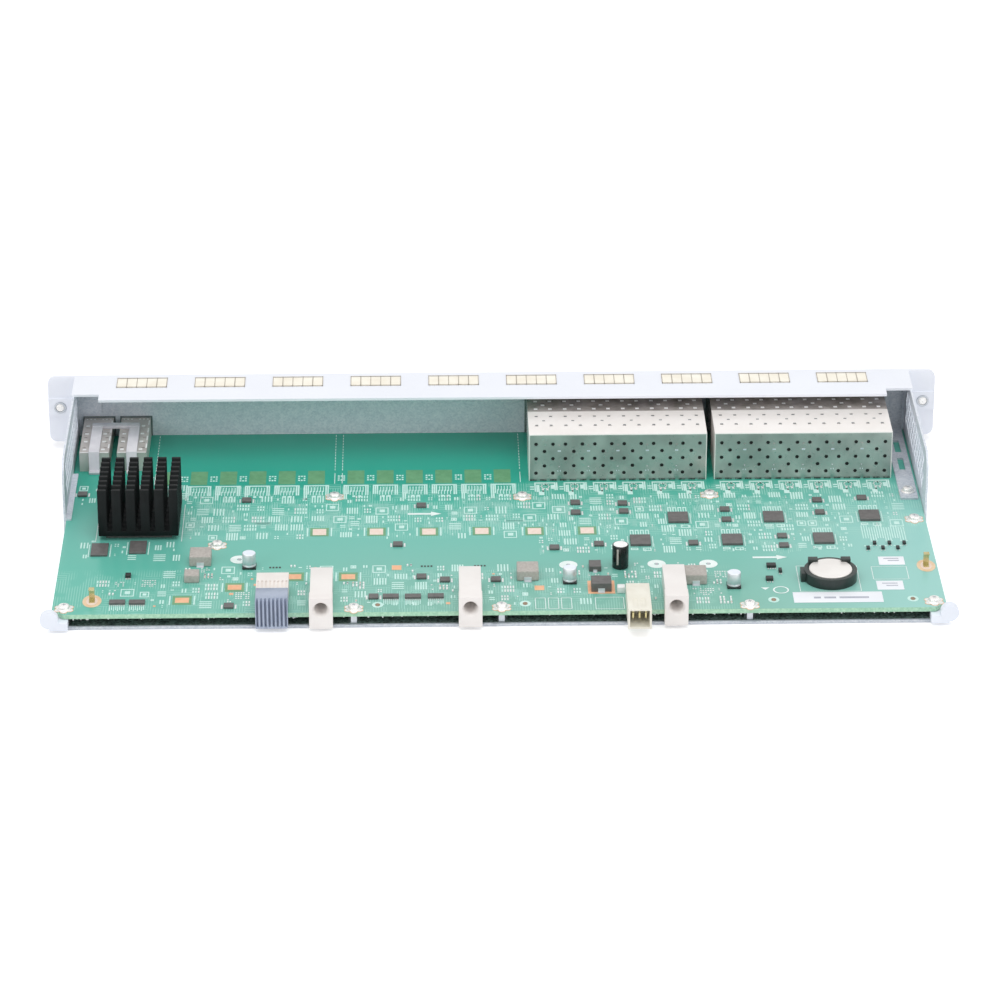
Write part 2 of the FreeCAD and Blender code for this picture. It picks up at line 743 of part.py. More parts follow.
def side_wall(name, tab_low, ledge):
    """Vented side wall on the right: the sheet, its front tab and, if asked, its ledge."""
    top = flange_under
    body = doc.addObject("PartDesign::Body", f"{name}_sheet")
    face = sketch(body, f"{name}_face", "YZ_Plane", wall_inner)
    rectangle(face, (0, panel_foot), (wall_depth, top))
    plate = pad(body, face, wall_thick)

    def is_rear_top(edge, middle):
        along = abs(edge.Length - wall_thick.value) < 0.01
        return along and abs(middle.y - wall_depth.value) < 0.01 and middle.z > top.value - 0.01

    round_edges(body, plate, is_rear_top, wall_corner, f"{name}_corner")
    for phase in range(2):
        vent = sketch(body, f"{name}_vent_{phase}", "YZ_Plane", wall_inner)
        middle = (vent_start + vent_pitch * phase / 2, vent_base + vent_rise * phase / 2)
        outline(vent, [
            (middle[0] - vent_width / 2, middle[1]), (middle[0], middle[1] - vent_height / 2),
            (middle[0] + vent_width / 2, middle[1]), (middle[0], middle[1] + vent_height / 2),
        ])
        hole = pocket(body, vent, wall_thick * 4)
        spread(body, hole, vent, f"{name}_vents_{phase}",
               (vent_columns, vent_pitch), (vent_rows, vent_rise))
    parts = [body]
    tab_left = wall_inner - wall_tab
    parts.append(box(f"{name}_tab", (tab_left, liner_thick, tab_low),
                     (wall_tab, wall_thick, top - tab_low)))
    if ledge:
        parts.append(box(f"{name}_ledge", (wall_inner - wall_ledge, wall_ledge_start, board_top),
                         (wall_ledge, wall_depth - wall_ledge_start, wall_thick)))
    return fuse(name, parts)


def corner_lug():
    """Lead-in lug on the right rear corner: a foot below the board and a round outer end."""
    radius = lug_height / 2
    middle = board_half + lug_outset
    end_front = tray_depth + side_gap / 2
    block = box("lug_block", (middle + radius - lug_width, lug_front, tray_thick),
                (lug_width - radius, lug_rear - lug_front - side_gap, board_lift - side_gap))
    end = cylinder("lug_end", (middle, end_front, lug_rise), radius, lug_rear - end_front, "Y")
    return fuse("lug_shape", [block, end])


def printed_circuit_board():
    """Board with clipped rear corners and a hole at each screw."""
    body = doc.addObject("PartDesign::Body", "printed_circuit_board")
    shape = sketch(body, "board_outline", "XY_Plane", board_base)
    half = board_half
    outline(shape, [
        (-half, board_front), (half, board_front), (half, board_rear - board_corner),
        (half - board_corner, board_rear), (board_corner - half, board_rear),
        (-half, board_rear - board_corner),
    ])
    pad(body, shape, board_thick)
    holes = sketch(body, "board_holes", "XY_Plane", board_base)
    for x, y in screw_spots() + [(bracket_x, bracket_reach)]:
        side = screw_hole_radius
        clip = side * (2 ** 0.5 - 1)
        outline(holes, [
            (x - side, y - clip), (x - clip, y - side), (x + clip, y - side), (x + side, y - clip),
            (x + side, y + clip), (x + clip, y + side), (x - clip, y + side), (x - side, y + clip),
        ])
    pocket(body, holes, board_thick * 3)
    return node(body, "printed_circuit_board")


def prism(name, base, radius, length, sides, axis="Z"):
    """Bar of regular section that starts at base and runs along one axis."""
    obj = doc.addObject("Part::Prism", name)
    obj.Placement = FreeCAD.Placement(FreeCAD.Vector(), AXIS_TURNS[axis])
    obj.Polygon = sides
    bind(obj, "Circumradius", radius)
    bind(obj, "Height", length)
    return place(obj, *base)


def board_screw():
    """Pan head screw on the axis through the origin, with its shank in the standoff."""
    reach = board_lift * 0.7
    brim = screw_head_height * 0.6
    head = cylinder("screw_head", (0, 0, board_top), screw_head_radius, brim)
    crown = prism("screw_crown", (0, 0, board_top + brim), screw_head_radius * 0.8,
                  screw_head_height - brim, 12)
    shank = prism("screw_shank", (0, 0, board_base - reach), screw_radius,
                  reach + board_thick + brim / 2, 8)
    return fuse("screw_shape", [head, crown, shank])


def fasteners():
    """Screws and the hexagonal standoffs below them."""
    bracket = (bracket_x, bracket_reach)
    raised = [(x, y, 0) for x, y in screw_spots()] + [(*bracket, wall_thick)]
    copies("board_screws", board_screw(), raised)
    post = prism("post_bar", (0, 0, tray_thick), standoff_radius, board_lift, 6)
    bore = prism("post_bore", (0, 0, tray_thick + board_lift * 0.2), screw_hole_radius, board_lift, 8)
    spots = [(x, y, 0) for x, y in screw_spots() + [bracket]]
    copies("board_standoffs", cut("post_shape", post, [bore]), spots)


def board_bracket():
    """Angle that ties the liner to the board at the left end: upright, foot and two slots."""
    x, y = bracket_x, bracket_reach
    low_x = x - bracket_width / 2
    back = liner_thick + wall_thick
    foot = box("bracket_foot", (low_x, back, board_top),
               (bracket_width, y + bracket_width * 0.9 - back, wall_thick))
    upright = box("bracket_upright", (low_x, back, board_top),
                  (bracket_width, wall_thick, flange_under - board_top - finger_sheet))
    slot_length = bracket_width * 1.6
    tools = [centred_box(f"bracket_slot_{number}",
                         (x, bracket_slot_start + slot_length * 1.5 * number, board_base),
                         (bracket_width * 0.35, slot_length, board_thick * 3)) for number in range(2)]
    tools.append(cylinder("bracket_hole", (x, y, board_base), screw_hole_radius, board_thick * 3))
    blank = fuse("bracket_blank", [foot, upright])
    return node(cut("board_bracket", blank, tools), "board_bracket")


def stack_shell(stack):
    """Folded top and sides of one stack, with a grid of small slots in the top."""
    left = stack_left_edge(stack)
    length = stack_rear + stack_front
    outer = box(f"shell_block_{stack}", (left, -stack_front, board_top),
                (stack_width, length, stack_height))
    inner = box(f"shell_hollow_{stack}", (left + cage_sheet, -stack_front - past, board_top - past),
                (stack_width - cage_sheet * 2, length + past * 2, stack_height + past - cage_sheet))
    tools = [inner]
    for row in range(2):
        for column in range(12):
            x = left + cage_sheet + port_pitch * (column + 0.5) / 2
            y = stack_rear * (0.62 + 0.2 * row)
            tools.append(centred_box(f"shell_slot_{stack}_{row}_{column}", (x, y, stack_top - past),
                                     (port_pitch * 0.12, cage_sheet * 2, past * 2)))
    return node(cut(f"cage_stack_{stack + 1}_shell", outer, tools), f"cage_stack_{stack + 1}_shell")


def stack_rear_cover(stack):
    """Rear sheet of one stack with its rows of round holes and small lanced tabs."""
    left = stack_left_edge(stack) + cage_sheet
    inside = port_pitch * 6
    front = stack_rear - cage_sheet
    sheet_block = box(f"cover_sheet_{stack}", (left, front, board_top),
                      (inside, cage_sheet, stack_height - cage_sheet))
    tools = []
    for column in range(6):
        middle = port_centre(stack, column)
        for row in range(5):
            rise = board_top + stack_height * 0.48 + stack_hole_rise * (row - 2)
            offsets = [0] if row % 2 else [-1, 1]
            for side in offsets:
                tools.append(prism(
                    f"cover_hole_{stack}_{column}_{row}_{side + 1}",
                    (middle + stack_hole_offset * side, front - past, rise),
                    stack_hole_radius, cage_sheet + past * 2, 6, "Y"))
    punched = cut(f"cover_punched_{stack}", sheet_block, tools)
    tabs = []
    for column in range(5):
        x = port_centre(stack, column) + port_pitch / 2
        for row in range(2):
            rise = board_top + stack_height * (0.2 + 0.47 * row)
            tabs.append(centred_box(f"cover_tab_{stack}_{column}_{row}", (x, stack_rear, rise),
                                    (port_pitch * 0.06, cage_sheet * 2, port_pitch * 0.18)))
    joined = fuse(f"cage_stack_{stack + 1}_rear_cover", [punched] + tabs)
    return node(joined, f"cage_stack_{stack + 1}_rear_cover")


def stack_inside(stack):
    """Dividers, port separators and connectors inside one stack."""
    number = stack + 1
    length = stack_rear - cage_sheet + stack_front
    divider = box(f"divider_seed_{stack}", (-cage_sheet / 2, -stack_front, board_top),
                  (cage_sheet, length, stack_height - cage_sheet))
    spots = [(port_centre(stack, column) + port_pitch / 2, 0, 0) for column in range(5)]
    copies(f"cage_stack_{number}_dividers", divider, spots)
    width = port_pitch - cage_sheet * 2
    gap = port_middle
    block = box(f"separator_block_{stack}", (-width / 2, -stack_front, board_top + port_height),
                (width, length - connector_depth - nose_depth, gap))
    hollow = box(f"separator_hollow_{stack}",
                 (-width / 2 - past, cage_sheet - stack_front, board_top + port_height + cage_sheet),
                 (width + past * 2, length, gap - cage_sheet * 2))
    columns = [(port_centre(stack, column), 0, 0) for column in range(6)]
    copies(f"cage_stack_{number}_separators", cut(f"separator_{stack}", block, [hollow]), columns)
    wide = width - connector_side_gap * 2
    back = stack_rear - cage_sheet * 2
    core = box(f"connector_core_{stack}", (-wide / 2, back - connector_depth, board_top),
               (wide, connector_depth, stack_height - cage_sheet * 3))
    parts = [core]
    tools = []
    for level in range(2):
        low = board_top + port_height / 2 - nose_height / 2 + (port_height + gap) * level
        parts.append(box(f"connector_nose_{stack}_{level}",
                         (-wide / 2, back - connector_depth - nose_depth, low),
                         (wide, nose_depth + past, nose_height)))
        tools.append(box(f"connector_slot_{stack}_{level}",
                         (-wide * 0.4, back - connector_depth - nose_depth - past,
                          low + nose_height * 0.33),
                         (wide * 0.8, nose_depth * 2, nose_height * 0.34)))
    solid = fuse(f"connector_body_{stack}", parts)
    copies(f"cage_stack_{number}_connectors", cut(f"connector_{stack}", solid, tools), columns)


def plus_cage(number):
    """One single cage: folded shell with a rear wall and rows of small slots in its top."""
    centre = plus_centre(number)
    left = centre - plus_width / 2
    length = plus_rear + stack_front
    outer = box(f"plus_block_{number}", (left, -stack_front, board_top), (plus_width, length, plus_height))
    inner = box(f"plus_hollow_{number}", (left + cage_sheet, -stack_front - past, board_top - past),
                (plus_width - cage_sheet * 2, length + past - cage_sheet, plus_height + past - cage_sheet))
    tools = [inner]
    for row in range(5):
        for side in (-1, 1):
            spot = (centre + side * plus_width * 0.36, plus_rear * (0.3 + 0.14 * row), plus_top - past)
            tools.append(centred_box(f"plus_slot_{number}_{row}_{side + 1}", spot,
                                     (cage_sheet * 4, cage_sheet * 2, past * 2)))
    name = f"single_cage_{number + 1}"
    node(cut(name, outer, tools), name)


def plus_connectors():
    """Connector block at the rear of each single cage."""
    wide = plus_width - cage_sheet * 2 - connector_side_gap * 2
    back = plus_rear - cage_sheet * 2
    core = box("plus_core", (-wide / 2, back - connector_depth * 0.8, board_top),
               (wide, connector_depth * 0.8, plus_height - cage_sheet * 3))
    low = board_top + plus_height / 2 - nose_height / 2
    nose = box("plus_nose", (-wide / 2, back - connector_depth * 0.8 - nose_depth, low),
               (wide, nose_depth + past, nose_height))
    slot = box("plus_slot", (-wide * 0.4, back - connector_depth * 0.8 - nose_depth - past,
                             low + nose_height * 0.33),
               (wide * 0.8, nose_depth * 2, nose_height * 0.34))
    shape = cut("plus_connector", fuse("plus_body", [core, nose]), [slot])
    copies("single_cage_connectors", shape, [(plus_centre(0), 0, 0), (plus_centre(1), 0, 0)])


def light_pipe():
    """Clear moulding: a cross bar over both cages and an arm down behind each of them."""
    low_x = plus_centre(1) - pipe_arm_width / 2
    span = plus_pitch + pipe_arm_width
    bar = box("pipe_bar", (low_x, pipe_bar_start, plus_top), (span, pipe_bar_depth, pipe_thick * 1.3))
    parts = [bar]
    drop = plus_height + pipe_thick - pipe_foot_gap
    for number in range(2):
        left = plus_centre(number) - pipe_arm_width / 2
        reach = plus_rear + side_gap + pipe_thick - pipe_bar_start
        parts.append(box(f"pipe_arm_{number}", (left, pipe_bar_start, plus_top),
                         (pipe_arm_width, reach, pipe_thick)))
        parts.append(box(f"pipe_leg_{number}", (left, plus_rear + side_gap, board_top + pipe_foot_gap),
                         (pipe_arm_width, pipe_thick, drop)))
        parts.append(box(f"pipe_foot_{number}", (left, plus_rear + side_gap, board_top),
                         (pipe_arm_width, pipe_thick * 3, pipe_thick)))
    return node(fuse("light_pipe", parts), "light_pipe")


def heat_sink():
    """Cast pin heat sink: base plate with a grid of rectangular pins."""
    body = doc.addObject("PartDesign::Body", "heat_sink")
    base_z = board_top + switch_chip_height
    wide = pin_pitch_x * (pin_columns - 1) + pin_width
    deep = pin_pitch_y * (pin_rows - 1) + pin_depth
    middle = on_board(SINK)
    low = (middle[0] - wide / 2, middle[1] - deep / 2)
    plate = sketch(body, "sink_plate", "XY_Plane", base_z)
    rectangle(plate, low, (low[0] + wide, low[1] + deep))
    pad(body, plate, sink_base)
    pin = sketch(body, "sink_pin", "XY_Plane", base_z)
    rectangle(pin, low, (low[0] + pin_width, low[1] + pin_depth))
    first = pad(body, pin, sink_height)
    spread(body, first, pin, "sink_pins", (pin_columns, pin_pitch_x), (pin_rows, pin_pitch_y))
    chip = centred_box("switch_chip", (*middle, board_top),
                       (switch_chip_width, switch_chip_width, switch_chip_height))
    node(chip, "switch_chip")
    return node(body, "heat_sink")


def guide_socket(number, x):
    """Cast guide socket: body on the board, wider nose hooked over its edge, round bore."""
    centre = board_half * x
    back = rear_face - guide_length
    parts = [
        box(f"guide_body_{number}", (centre - guide_width / 2, back, board_top),
            (guide_width, guide_length, guide_height)),
        box(f"guide_nose_{number}", (centre - guide_nose_width / 2, rear_face - guide_nose_depth, board_top),
            (guide_nose_width, guide_nose_depth, guide_height - guide_step)),
        box(f"guide_hook_{number}",
            (centre - guide_nose_width / 2, board_rear + hook_gap, board_top - guide_drop),
            (guide_nose_width, rear_reach - hook_gap, guide_drop + past)),
    ]
    blank = fuse(f"guide_blank_{number}", parts)
    axis_z = board_top + guide_axis_rise
    bore = cylinder(f"guide_bore_{number}", (centre, rear_face - guide_bore_depth, axis_z),
                    guide_bore_radius, guide_bore_depth + past, "Y")
    mouth = cone(f"guide_mouth_{number}", (centre, rear_face - guide_mouth_depth, axis_z),
                 guide_bore_radius, guide_mouth_radius, guide_mouth_depth, "Y")
    tool = fuse(f"guide_tool_{number}", [bore, mouth])
    name = f"guide_socket_{number + 1}"
    return node(cut(name, blank, [tool]), name)


def signal_connector():
    """Backplane connector: moulded cap with ribs, and the comb of wafers at its face."""
    back = rear_face - signal_length
    left = signal_x - signal_width / 2
    cap_block = box("signal_cap_block", (left, back, board_top),
                    (signal_width, signal_cap_length, signal_height))
    grooves = []
    first = signal_x - signal_slot_pitch * (signal_slots - 1) / 2
    for number in range(signal_slots):
        spot = (first + signal_slot_pitch * number, back + signal_cap_length * 0.75,
                board_top + signal_height * 0.92)
        grooves.append(centred_box(f"signal_groove_{number}", spot,
                                   (signal_slot_width, signal_cap_length * 0.47, signal_height)))
    node(cut("signal_connector_cap", cap_block, grooves), "signal_connector_cap")
    start = back + signal_cap_length
    body = box("signal_body", (left, start, board_top), (signal_width, rear_face - start, signal_height))
    hook = box("signal_hook", (left, board_rear + hook_gap, board_top - signal_drop),
               (signal_width, rear_reach - hook_gap, signal_drop + past))
    slots = []
    for number in range(signal_slots):
        spot = (first + signal_slot_pitch * number, rear_face, board_top - signal_drop * 0.86)
        slots.append(centred_box(f"signal_slot_{number}", spot,
                                 (signal_slot_width, signal_slot_depth * 2, signal_drop + signal_height)))
    comb = cut("signal_connector_comb", fuse("signal_blank", [body, hook]), slots)
    return node(comb, "signal_connector_comb")


def power_connector():
    """Power connector that reaches past the board edge, and its six blades."""
    left = power_x - power_width / 2
    end = power_start + power_length
    on_board = box("power_rear", (left, power_start, board_top),
                   (power_width, board_rear + hook_gap - power_start + past, power_height))
    front = box("power_front", (left, board_rear + hook_gap, board_base),
                (power_width, end - board_rear - hook_gap, board_thick + power_height))
    blank = fuse("power_blank", [on_board, front])
    cavity_start = end - power_cavity_depth
    high = board_thick + power_height - power_wall * 2
    inside = power_width - power_wall * 2
    low_start = board_rear + hook_gap + power_wall
    lower = box("power_cavity", (left + power_wall, low_start, board_base + power_wall),
                (inside, end - low_start + past, high))
    upper = box("power_relief", (left + power_wall, cavity_start, board_top + power_wall),
                (inside, power_cavity_depth, power_height - power_wall * 2))
    tools = [fuse("power_hollow", [lower, upper])]
    for side in (-1, 1):
        spot = (power_x + side * power_width * 0.17, end - power_recess_length * 0.77,
                board_top + power_height - power_recess_depth)
        tools.append(centred_box(f"power_recess_{side + 1}", spot,
                                 (power_width * 0.2, power_recess_length, past)))
    node(cut("power_connector_housing", blank, tools), "power_connector_housing")
    blade = centred_box("power_blade", (0, cavity_start + blade_length / 2, 0),
                        (blade_width, blade_length, blade_height))
    middle = board_top + power_height / 2
    spots = []
    for column in range(3):
        for row in (-1, 0):
            rise = middle + blade_gap / 2 + (blade_height + blade_gap) * row
            spots.append((power_x + blade_pitch * (column - 1), 0, rise))
    return copies("power_connector_blades", blade, spots)


def coin_cell_holder():
    """Round holder with two claws and a terminal block, its contact and the coin cell."""
    cell_x, cell_y = on_board(CELL)
    outer = cell_radius + holder_gap + holder_wall
    seat = board_top + cell_lift
    ring = cylinder("holder_ring", (cell_x, cell_y, board_top), outer, holder_height)
    block = centred_box("holder_block", (cell_x + outer, cell_y, board_top),
                        (holder_wall * 1.5, cell_radius * 0.7, holder_height * 0.88))
    claws = []
    for side in (-1, 1):
        spot = (cell_x + side * outer * 0.62, cell_y - outer * 0.62, board_top)
        claw = centred_box(f"holder_claw_{side + 1}", spot,
                           (holder_wall * 2.1, holder_wall * 1.6, cell_lift + cell_thick + claw_rise))
        claws.append(claw)
    blank = fuse("holder_blank", [ring, block] + claws)
    pocket_tool = cylinder("holder_pocket", (cell_x, cell_y, seat), cell_radius + holder_gap,
                           cell_thick + holder_gap)
    well = prism("holder_well", (cell_x, cell_y, board_top + holder_floor), cell_radius * 0.8,
                 holder_height * 2, 12)
    node(cut("coin_cell_holder", blank, [fuse("holder_tool", [pocket_tool, well])]), "coin_cell_holder")
    can = cylinder("cell_can", (cell_x, cell_y, seat), cell_radius, cell_thick)
    return node(can, "coin_cell")


def places(spots):
    """Places on the board from their shares."""
    return [on_board(spot) for spot in spots]


def electronics():
    """Chips, inductors, capacitors and contacts that stand on the board."""
    beside = board_half * GUIDES[2] - guide_nose_width / 2 - side_gap - coil_width / 2
    coils = places(COILS) + [(beside, on_board((0, GUIDE_COIL))[1])]
    seeds = (
        ("port_chips", places(BIG_CHIPS), big_chip_width, big_chip_depth, big_chip_height),
        ("memory_chips", places(MEMORY_CHIPS), memory_chip_width, memory_chip_depth, small_chip_height),
        ("logic_chips", places(SMALL_CHIPS), small_chip_width, small_chip_depth, small_chip_height),
        ("driver_chips", places(WIDE_CHIPS), wide_chip_width, wide_chip_depth, small_chip_height),
        ("power_inductors", coils, coil_width, coil_depth, coil_height),
        ("filter_choke", places([CHOKE]), choke_width, choke_width, choke_height),
        ("film_capacitor", places([CUBE]), cube_width, cube_width, cube_height),
    )
    for name, spots, width, depth, height in seeds:
        if len(spots) == 1:
            node(centred_box(name, (*spots[0], board_top), (width, depth, height)), name)
            continue
        seed = centred_box(f"{name}_seed", (0, 0, board_top), (width, depth, height))
        copies(name, seed, [(x, y, 0) for x, y in spots])
    switch = centred_box("transistor_block", (*on_board(TRANSISTOR), board_top),
                         (transistor_width, transistor_depth, transistor_height))
    diode = centred_box("diode_block", (*on_board(DIODE), board_top),
                        (diode_width, diode_depth, diode_height))
    node(together("power_semiconductors", [switch, diode]), "power_semiconductors")
    side = can_radius * 2.05
    base = centred_box("can_base", (0, 0, board_top), (side, side, can_foot))
    can = cylinder("can_body", (0, 0, board_top), can_radius, can_height)
    copies("can_capacitors", fuse("can_shape", [base, can]), [(x, y, 0) for x, y in places(CANS)])
    tall = cylinder("tall_can", (*on_board(TALL_CAN), board_top), tall_can_radius, tall_can_height)
    node(tall, "tall_capacitor")
    foot = centred_box("spring_foot", (0, 0, board_top),
                       (spring_width, spring_width * 1.4, spring_sheet))
    leaf = centred_box("spring_leaf", (0, -spring_width * 0.4, board_top),
                       (spring_width, spring_sheet, spring_height))
    crown = centred_box("spring_crown", (0, 0, board_top + spring_height - spring_sheet),
                        (spring_width, spring_width * 1.1, spring_sheet))
    shape = fuse("spring_shape", [foot, leaf, crown])
    copies("ground_springs", shape, [(x, y, 0) for x, y in places(SPRINGS)])


def captive_parts():
    """Ferrule fixed in the right ear, and the loose washer and screw that travel in it."""
    ear_back = ear_pad_thick
    front = -panel_thick - ferrule_proud
    hole = captive_radius + running_gap
    at = captive_x
    parts = [
        cylinder("ferrule_bar", (at, front, captive_rise), ferrule_radius,
                 ear_back - front + ferrule_tail, "Y"),
        cylinder("ferrule_rim", (at, front, captive_rise), ferrule_flange, ferrule_proud, "Y"),
    ]
    bore = cylinder("ferrule_bore", (at, front - past, captive_rise), hole,
                    ear_back - front + past * 2, "Y")
    ferrule = cut("ferrule_shape", fuse("ferrule_blank", parts), [bore])
    washer_back = front - captive_travel - captive_rest_gap
    disc = cylinder("captive_disc", (at, washer_back - captive_washer_thick, captive_rise),
                    captive_washer_radius, captive_washer_thick, "Y")
    disc_bore = cylinder("captive_disc_bore", (at, washer_back - captive_washer_thick * 2, captive_rise),
                         hole, captive_washer_thick * 3, "Y")
    washer = cut("captive_washer_shape", disc, [disc_bore])
    head_back = washer_back - captive_washer_thick
    head = cylinder("captive_head", (at, head_back - captive_head_length, captive_rise),
                    captive_head_radius, captive_head_length, "Y")
    shank = cylinder("captive_shank", (at, head_back - past, captive_rise), captive_radius,
                     ear_back - head_back + past + captive_tip, "Y")
    slot = centred_box("captive_slot",
                       (at, head_back - captive_head_length, captive_rise - captive_slot / 2),
                       (captive_head_radius * 3, captive_slot * 2, captive_slot))
    screw = cut("captive_screw_shape", fuse("captive_blank", [head, shank]), [slot])
    for name, shape in (("captive_ferrule", ferrule), ("captive_washer", washer),
                        ("captive_screw", screw)):
        node(shape, f"{name}_right")
        node(mirror(f"{name}_left", shape), f"{name}_left")


def lever_parts():
    """Ejector lever on the right ear, with its lugs and pivot pin."""
    pivot = (-panel_thick - lever_pivot_reach, lever_pivot_rise)
    middle = (body_half + panel_half) / 2
    left = middle - lever_width / 2
    radius = lever_boss_radius + side_gap
    lugs = []
    for number, x in enumerate((left, left + lever_width - lug_sheet)):
        plate = box(f"lug_plate_{number}", (x, pivot[0], pivot[1] - radius),
                    (lug_sheet, lever_pivot_reach, radius * 2))
        nose = cylinder(f"lug_nose_{number}", (x, pivot[0], pivot[1]), radius, lug_sheet, "X")
        hole = cylinder(f"lug_hole_{number}", (x - past, pivot[0], pivot[1]), lever_pin_radius,
                        lug_sheet + past * 2, "X")
        lugs.append(cut(f"lug_{number}", fuse(f"lug_blank_{number}", [plate, nose]), [hole]))
    back = box("lug_back", (left, -panel_thick - lug_sheet / 2, pivot[1] - radius),
               (lever_width, lug_sheet / 2, radius * 2))
    bracket = fuse("lever_bracket_shape", lugs + [back])
    pin = cylinder("lever_pin_bar", (left, pivot[0], pivot[1]), lever_pin_radius, lever_width, "X")
    boss_width = lever_width - lug_sheet * 2 - side_gap * 2
    boss_left = middle - boss_width / 2
    front = -panel_thick - lever_gap - lever_thick
    arm_low = pivot[1] + radius + lever_arm_gap
    top = panel_height - lever_top_gap
    window_half = captive_head_radius + lever_head_gap
    window_low = captive_rise - window_half - lever_head_gap
    window_high = captive_rise + window_half + lever_swing_gap
    frame = box("lever_frame", (left, front, arm_low), (lever_width, lever_thick, top - arm_low))
    boss = cylinder("lever_boss", (boss_left, pivot[0], pivot[1]), lever_boss_radius, boss_width, "X")
    web = box("lever_web", (boss_left, pivot[0] - lever_boss_radius * 0.4, pivot[1]),
              (boss_width, lever_boss_radius * 0.9, arm_low - pivot[1] + past))
    grip = box("lever_grip_bar", (left, front - lever_grip, top - lever_grip),
               (lever_width, lever_grip + past, lever_grip))
    blank = fuse("lever_blank", [frame, boss, web, grip])
    window = box("lever_window", (captive_x - window_half, front - past, window_low),
                 (window_half * 2, lever_thick + past * 2, window_high - window_low))
    bore = cylinder("lever_bore", (boss_left - past, pivot[0], pivot[1]), lever_pin_radius + running_gap,
                    boss_width + past * 2, "X")
    lever = cut("ejector_lever_shape", blank, [window, bore])
    for name, shape in (("lever_bracket", bracket), ("ejector_lever", lever)):
        node(shape, f"{name}_right")
        node(mirror(f"{name}_left", shape), f"{name}_left")
    node(together("lever_pins", [pin, mirror("lever_pin_left", pin)]), "lever_pins")


def build():
    """Make every sub-part."""
    front_panel()
    finger_strips()
    base_tray()
    liner()
    node(side_wall("side_wall_right", plus_top + pipe_thick * 2, True), "side_wall_right")
    left_wall = side_wall("wall_for_left", board_top, False)
    node(mirror("side_wall_left", left_wall), "side_wall_left")
    lug = corner_lug()
    node(lug, "corner_lug_right")
    node(mirror("corner_lug_left", lug), "corner_lug_left")
    printed_circuit_board()
    fasteners()
    board_bracket()
    for stack in range(2):
        stack_shell(stack)
        stack_rear_cover(stack)
        stack_inside(stack)
    for number in range(2):
        plus_cage(number)
    plus_connectors()
    light_pipe()
    heat_sink()
    for number, x in enumerate(GUIDES):
        guide_socket(number, x)
    signal_connector()
    power_connector()
    coin_cell_holder()
    electronics()
    captive_parts()
    lever_parts()
    doc.recompute()


def check_and_export():
    """Stop at anything that failed, then write one file for each sub-part."""
    for item in doc.Objects:
        if "Invalid" in item.State or "Error" in item.State:
            raise RuntimeError(f"{item.Name} failed: {item.State}")
    os.makedirs("parts", exist_ok=True)
    for name, item in nodes.items():
        if item.Shape.isNull() or not item.Shape.isValid() or not item.Shape.Solids:
            raise RuntimeError(f"{name} has no sound solid")
    for name, item in nodes.items():
        item.Shape.exportStep(f"parts/{name}.step")
    print(len(nodes), "sub-parts")


build()
check_and_export()
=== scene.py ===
"""Switch line card: the looks of the card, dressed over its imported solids.

Written as an add-on with one operator for each group of pieces, and run as a script.
Lengths in the code are millimetres, and become metres where a mesh is made.
"""

import json
import math
import random

import bmesh
import bpy
from mathutils import Matrix, Vector


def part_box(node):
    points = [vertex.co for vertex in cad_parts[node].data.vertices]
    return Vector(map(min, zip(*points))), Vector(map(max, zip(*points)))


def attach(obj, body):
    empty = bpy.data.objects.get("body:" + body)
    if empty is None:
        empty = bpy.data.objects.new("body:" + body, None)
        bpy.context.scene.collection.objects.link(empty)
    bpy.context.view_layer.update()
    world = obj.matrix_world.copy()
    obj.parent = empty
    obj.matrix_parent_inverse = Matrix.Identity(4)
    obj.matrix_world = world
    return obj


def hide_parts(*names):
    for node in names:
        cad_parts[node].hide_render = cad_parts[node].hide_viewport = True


bl_info = {
    "name": "Switch line card",
    "version": (1, 0, 0),
    "blender": (4, 5, 0),
    "location": "View3D > Sidebar > Line card",
    "description": "Dresses the solids of a switch line card",
    "category": "Object",
}

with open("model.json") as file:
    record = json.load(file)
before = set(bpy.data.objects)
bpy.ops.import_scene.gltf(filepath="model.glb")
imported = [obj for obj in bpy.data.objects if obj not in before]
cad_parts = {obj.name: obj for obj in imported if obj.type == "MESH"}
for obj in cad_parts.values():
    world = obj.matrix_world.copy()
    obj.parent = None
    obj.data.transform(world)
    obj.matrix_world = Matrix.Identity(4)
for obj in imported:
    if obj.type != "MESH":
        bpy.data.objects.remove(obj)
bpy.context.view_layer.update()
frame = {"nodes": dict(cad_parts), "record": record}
MM = 0.001
BOARD_LOW, BOARD_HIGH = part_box("printed_circuit_board")
BOARD_TOP = BOARD_HIGH.z / MM
PORT_PITCH = 14.25
PORTS_IN_A_ROW = 6
STACK_TOP = 32.0       # the top of the cage stacks
PRINT_LIFT = 0.02      # how far a flat mark lies above the sheet that it is on
LEVELS = 23            # marks on the board lie on one of these levels, and
LEVEL_STEP = 0.0005    # so far apart, so that where two cross one is on top


# ---------------------------------------------------------------------------------- tools

def colour(code):
    """An sRGB hex code as a linear colour."""
    channels = []
    for start in (1, 3, 5):
        share = int(code[start:start + 2], 16) / 255
        channels.append(share / 12.92 if share <= 0.04045 else ((share + 0.055) / 1.055) ** 2.4)
    return (*channels, 1.0)


def add(tree, kind, settings=None, values=None):
    """One node with its settings, and its inputs given as sockets to link or plain values."""
    made = tree.nodes.new(kind)
    for key, value in (settings or {}).items():
        setattr(made, key, value)
    for key, value in (values or {}).items():
        socket = made.inputs[key]
        if isinstance(value, bpy.types.NodeSocket):
            tree.links.new(value, socket)
        else:
            socket.default_value = value
    return made


def finish_named(name, values):
    """A new material, its tree and its shader with plain values set on the shader itself."""
    material = bpy.data.materials.new(name)
    material.use_nodes = True
    tree = material.node_tree
    shader = tree.nodes["Principled BSDF"]
    for key, value in values.items():
        shader.inputs[key].default_value = value
    return material, tree, shader


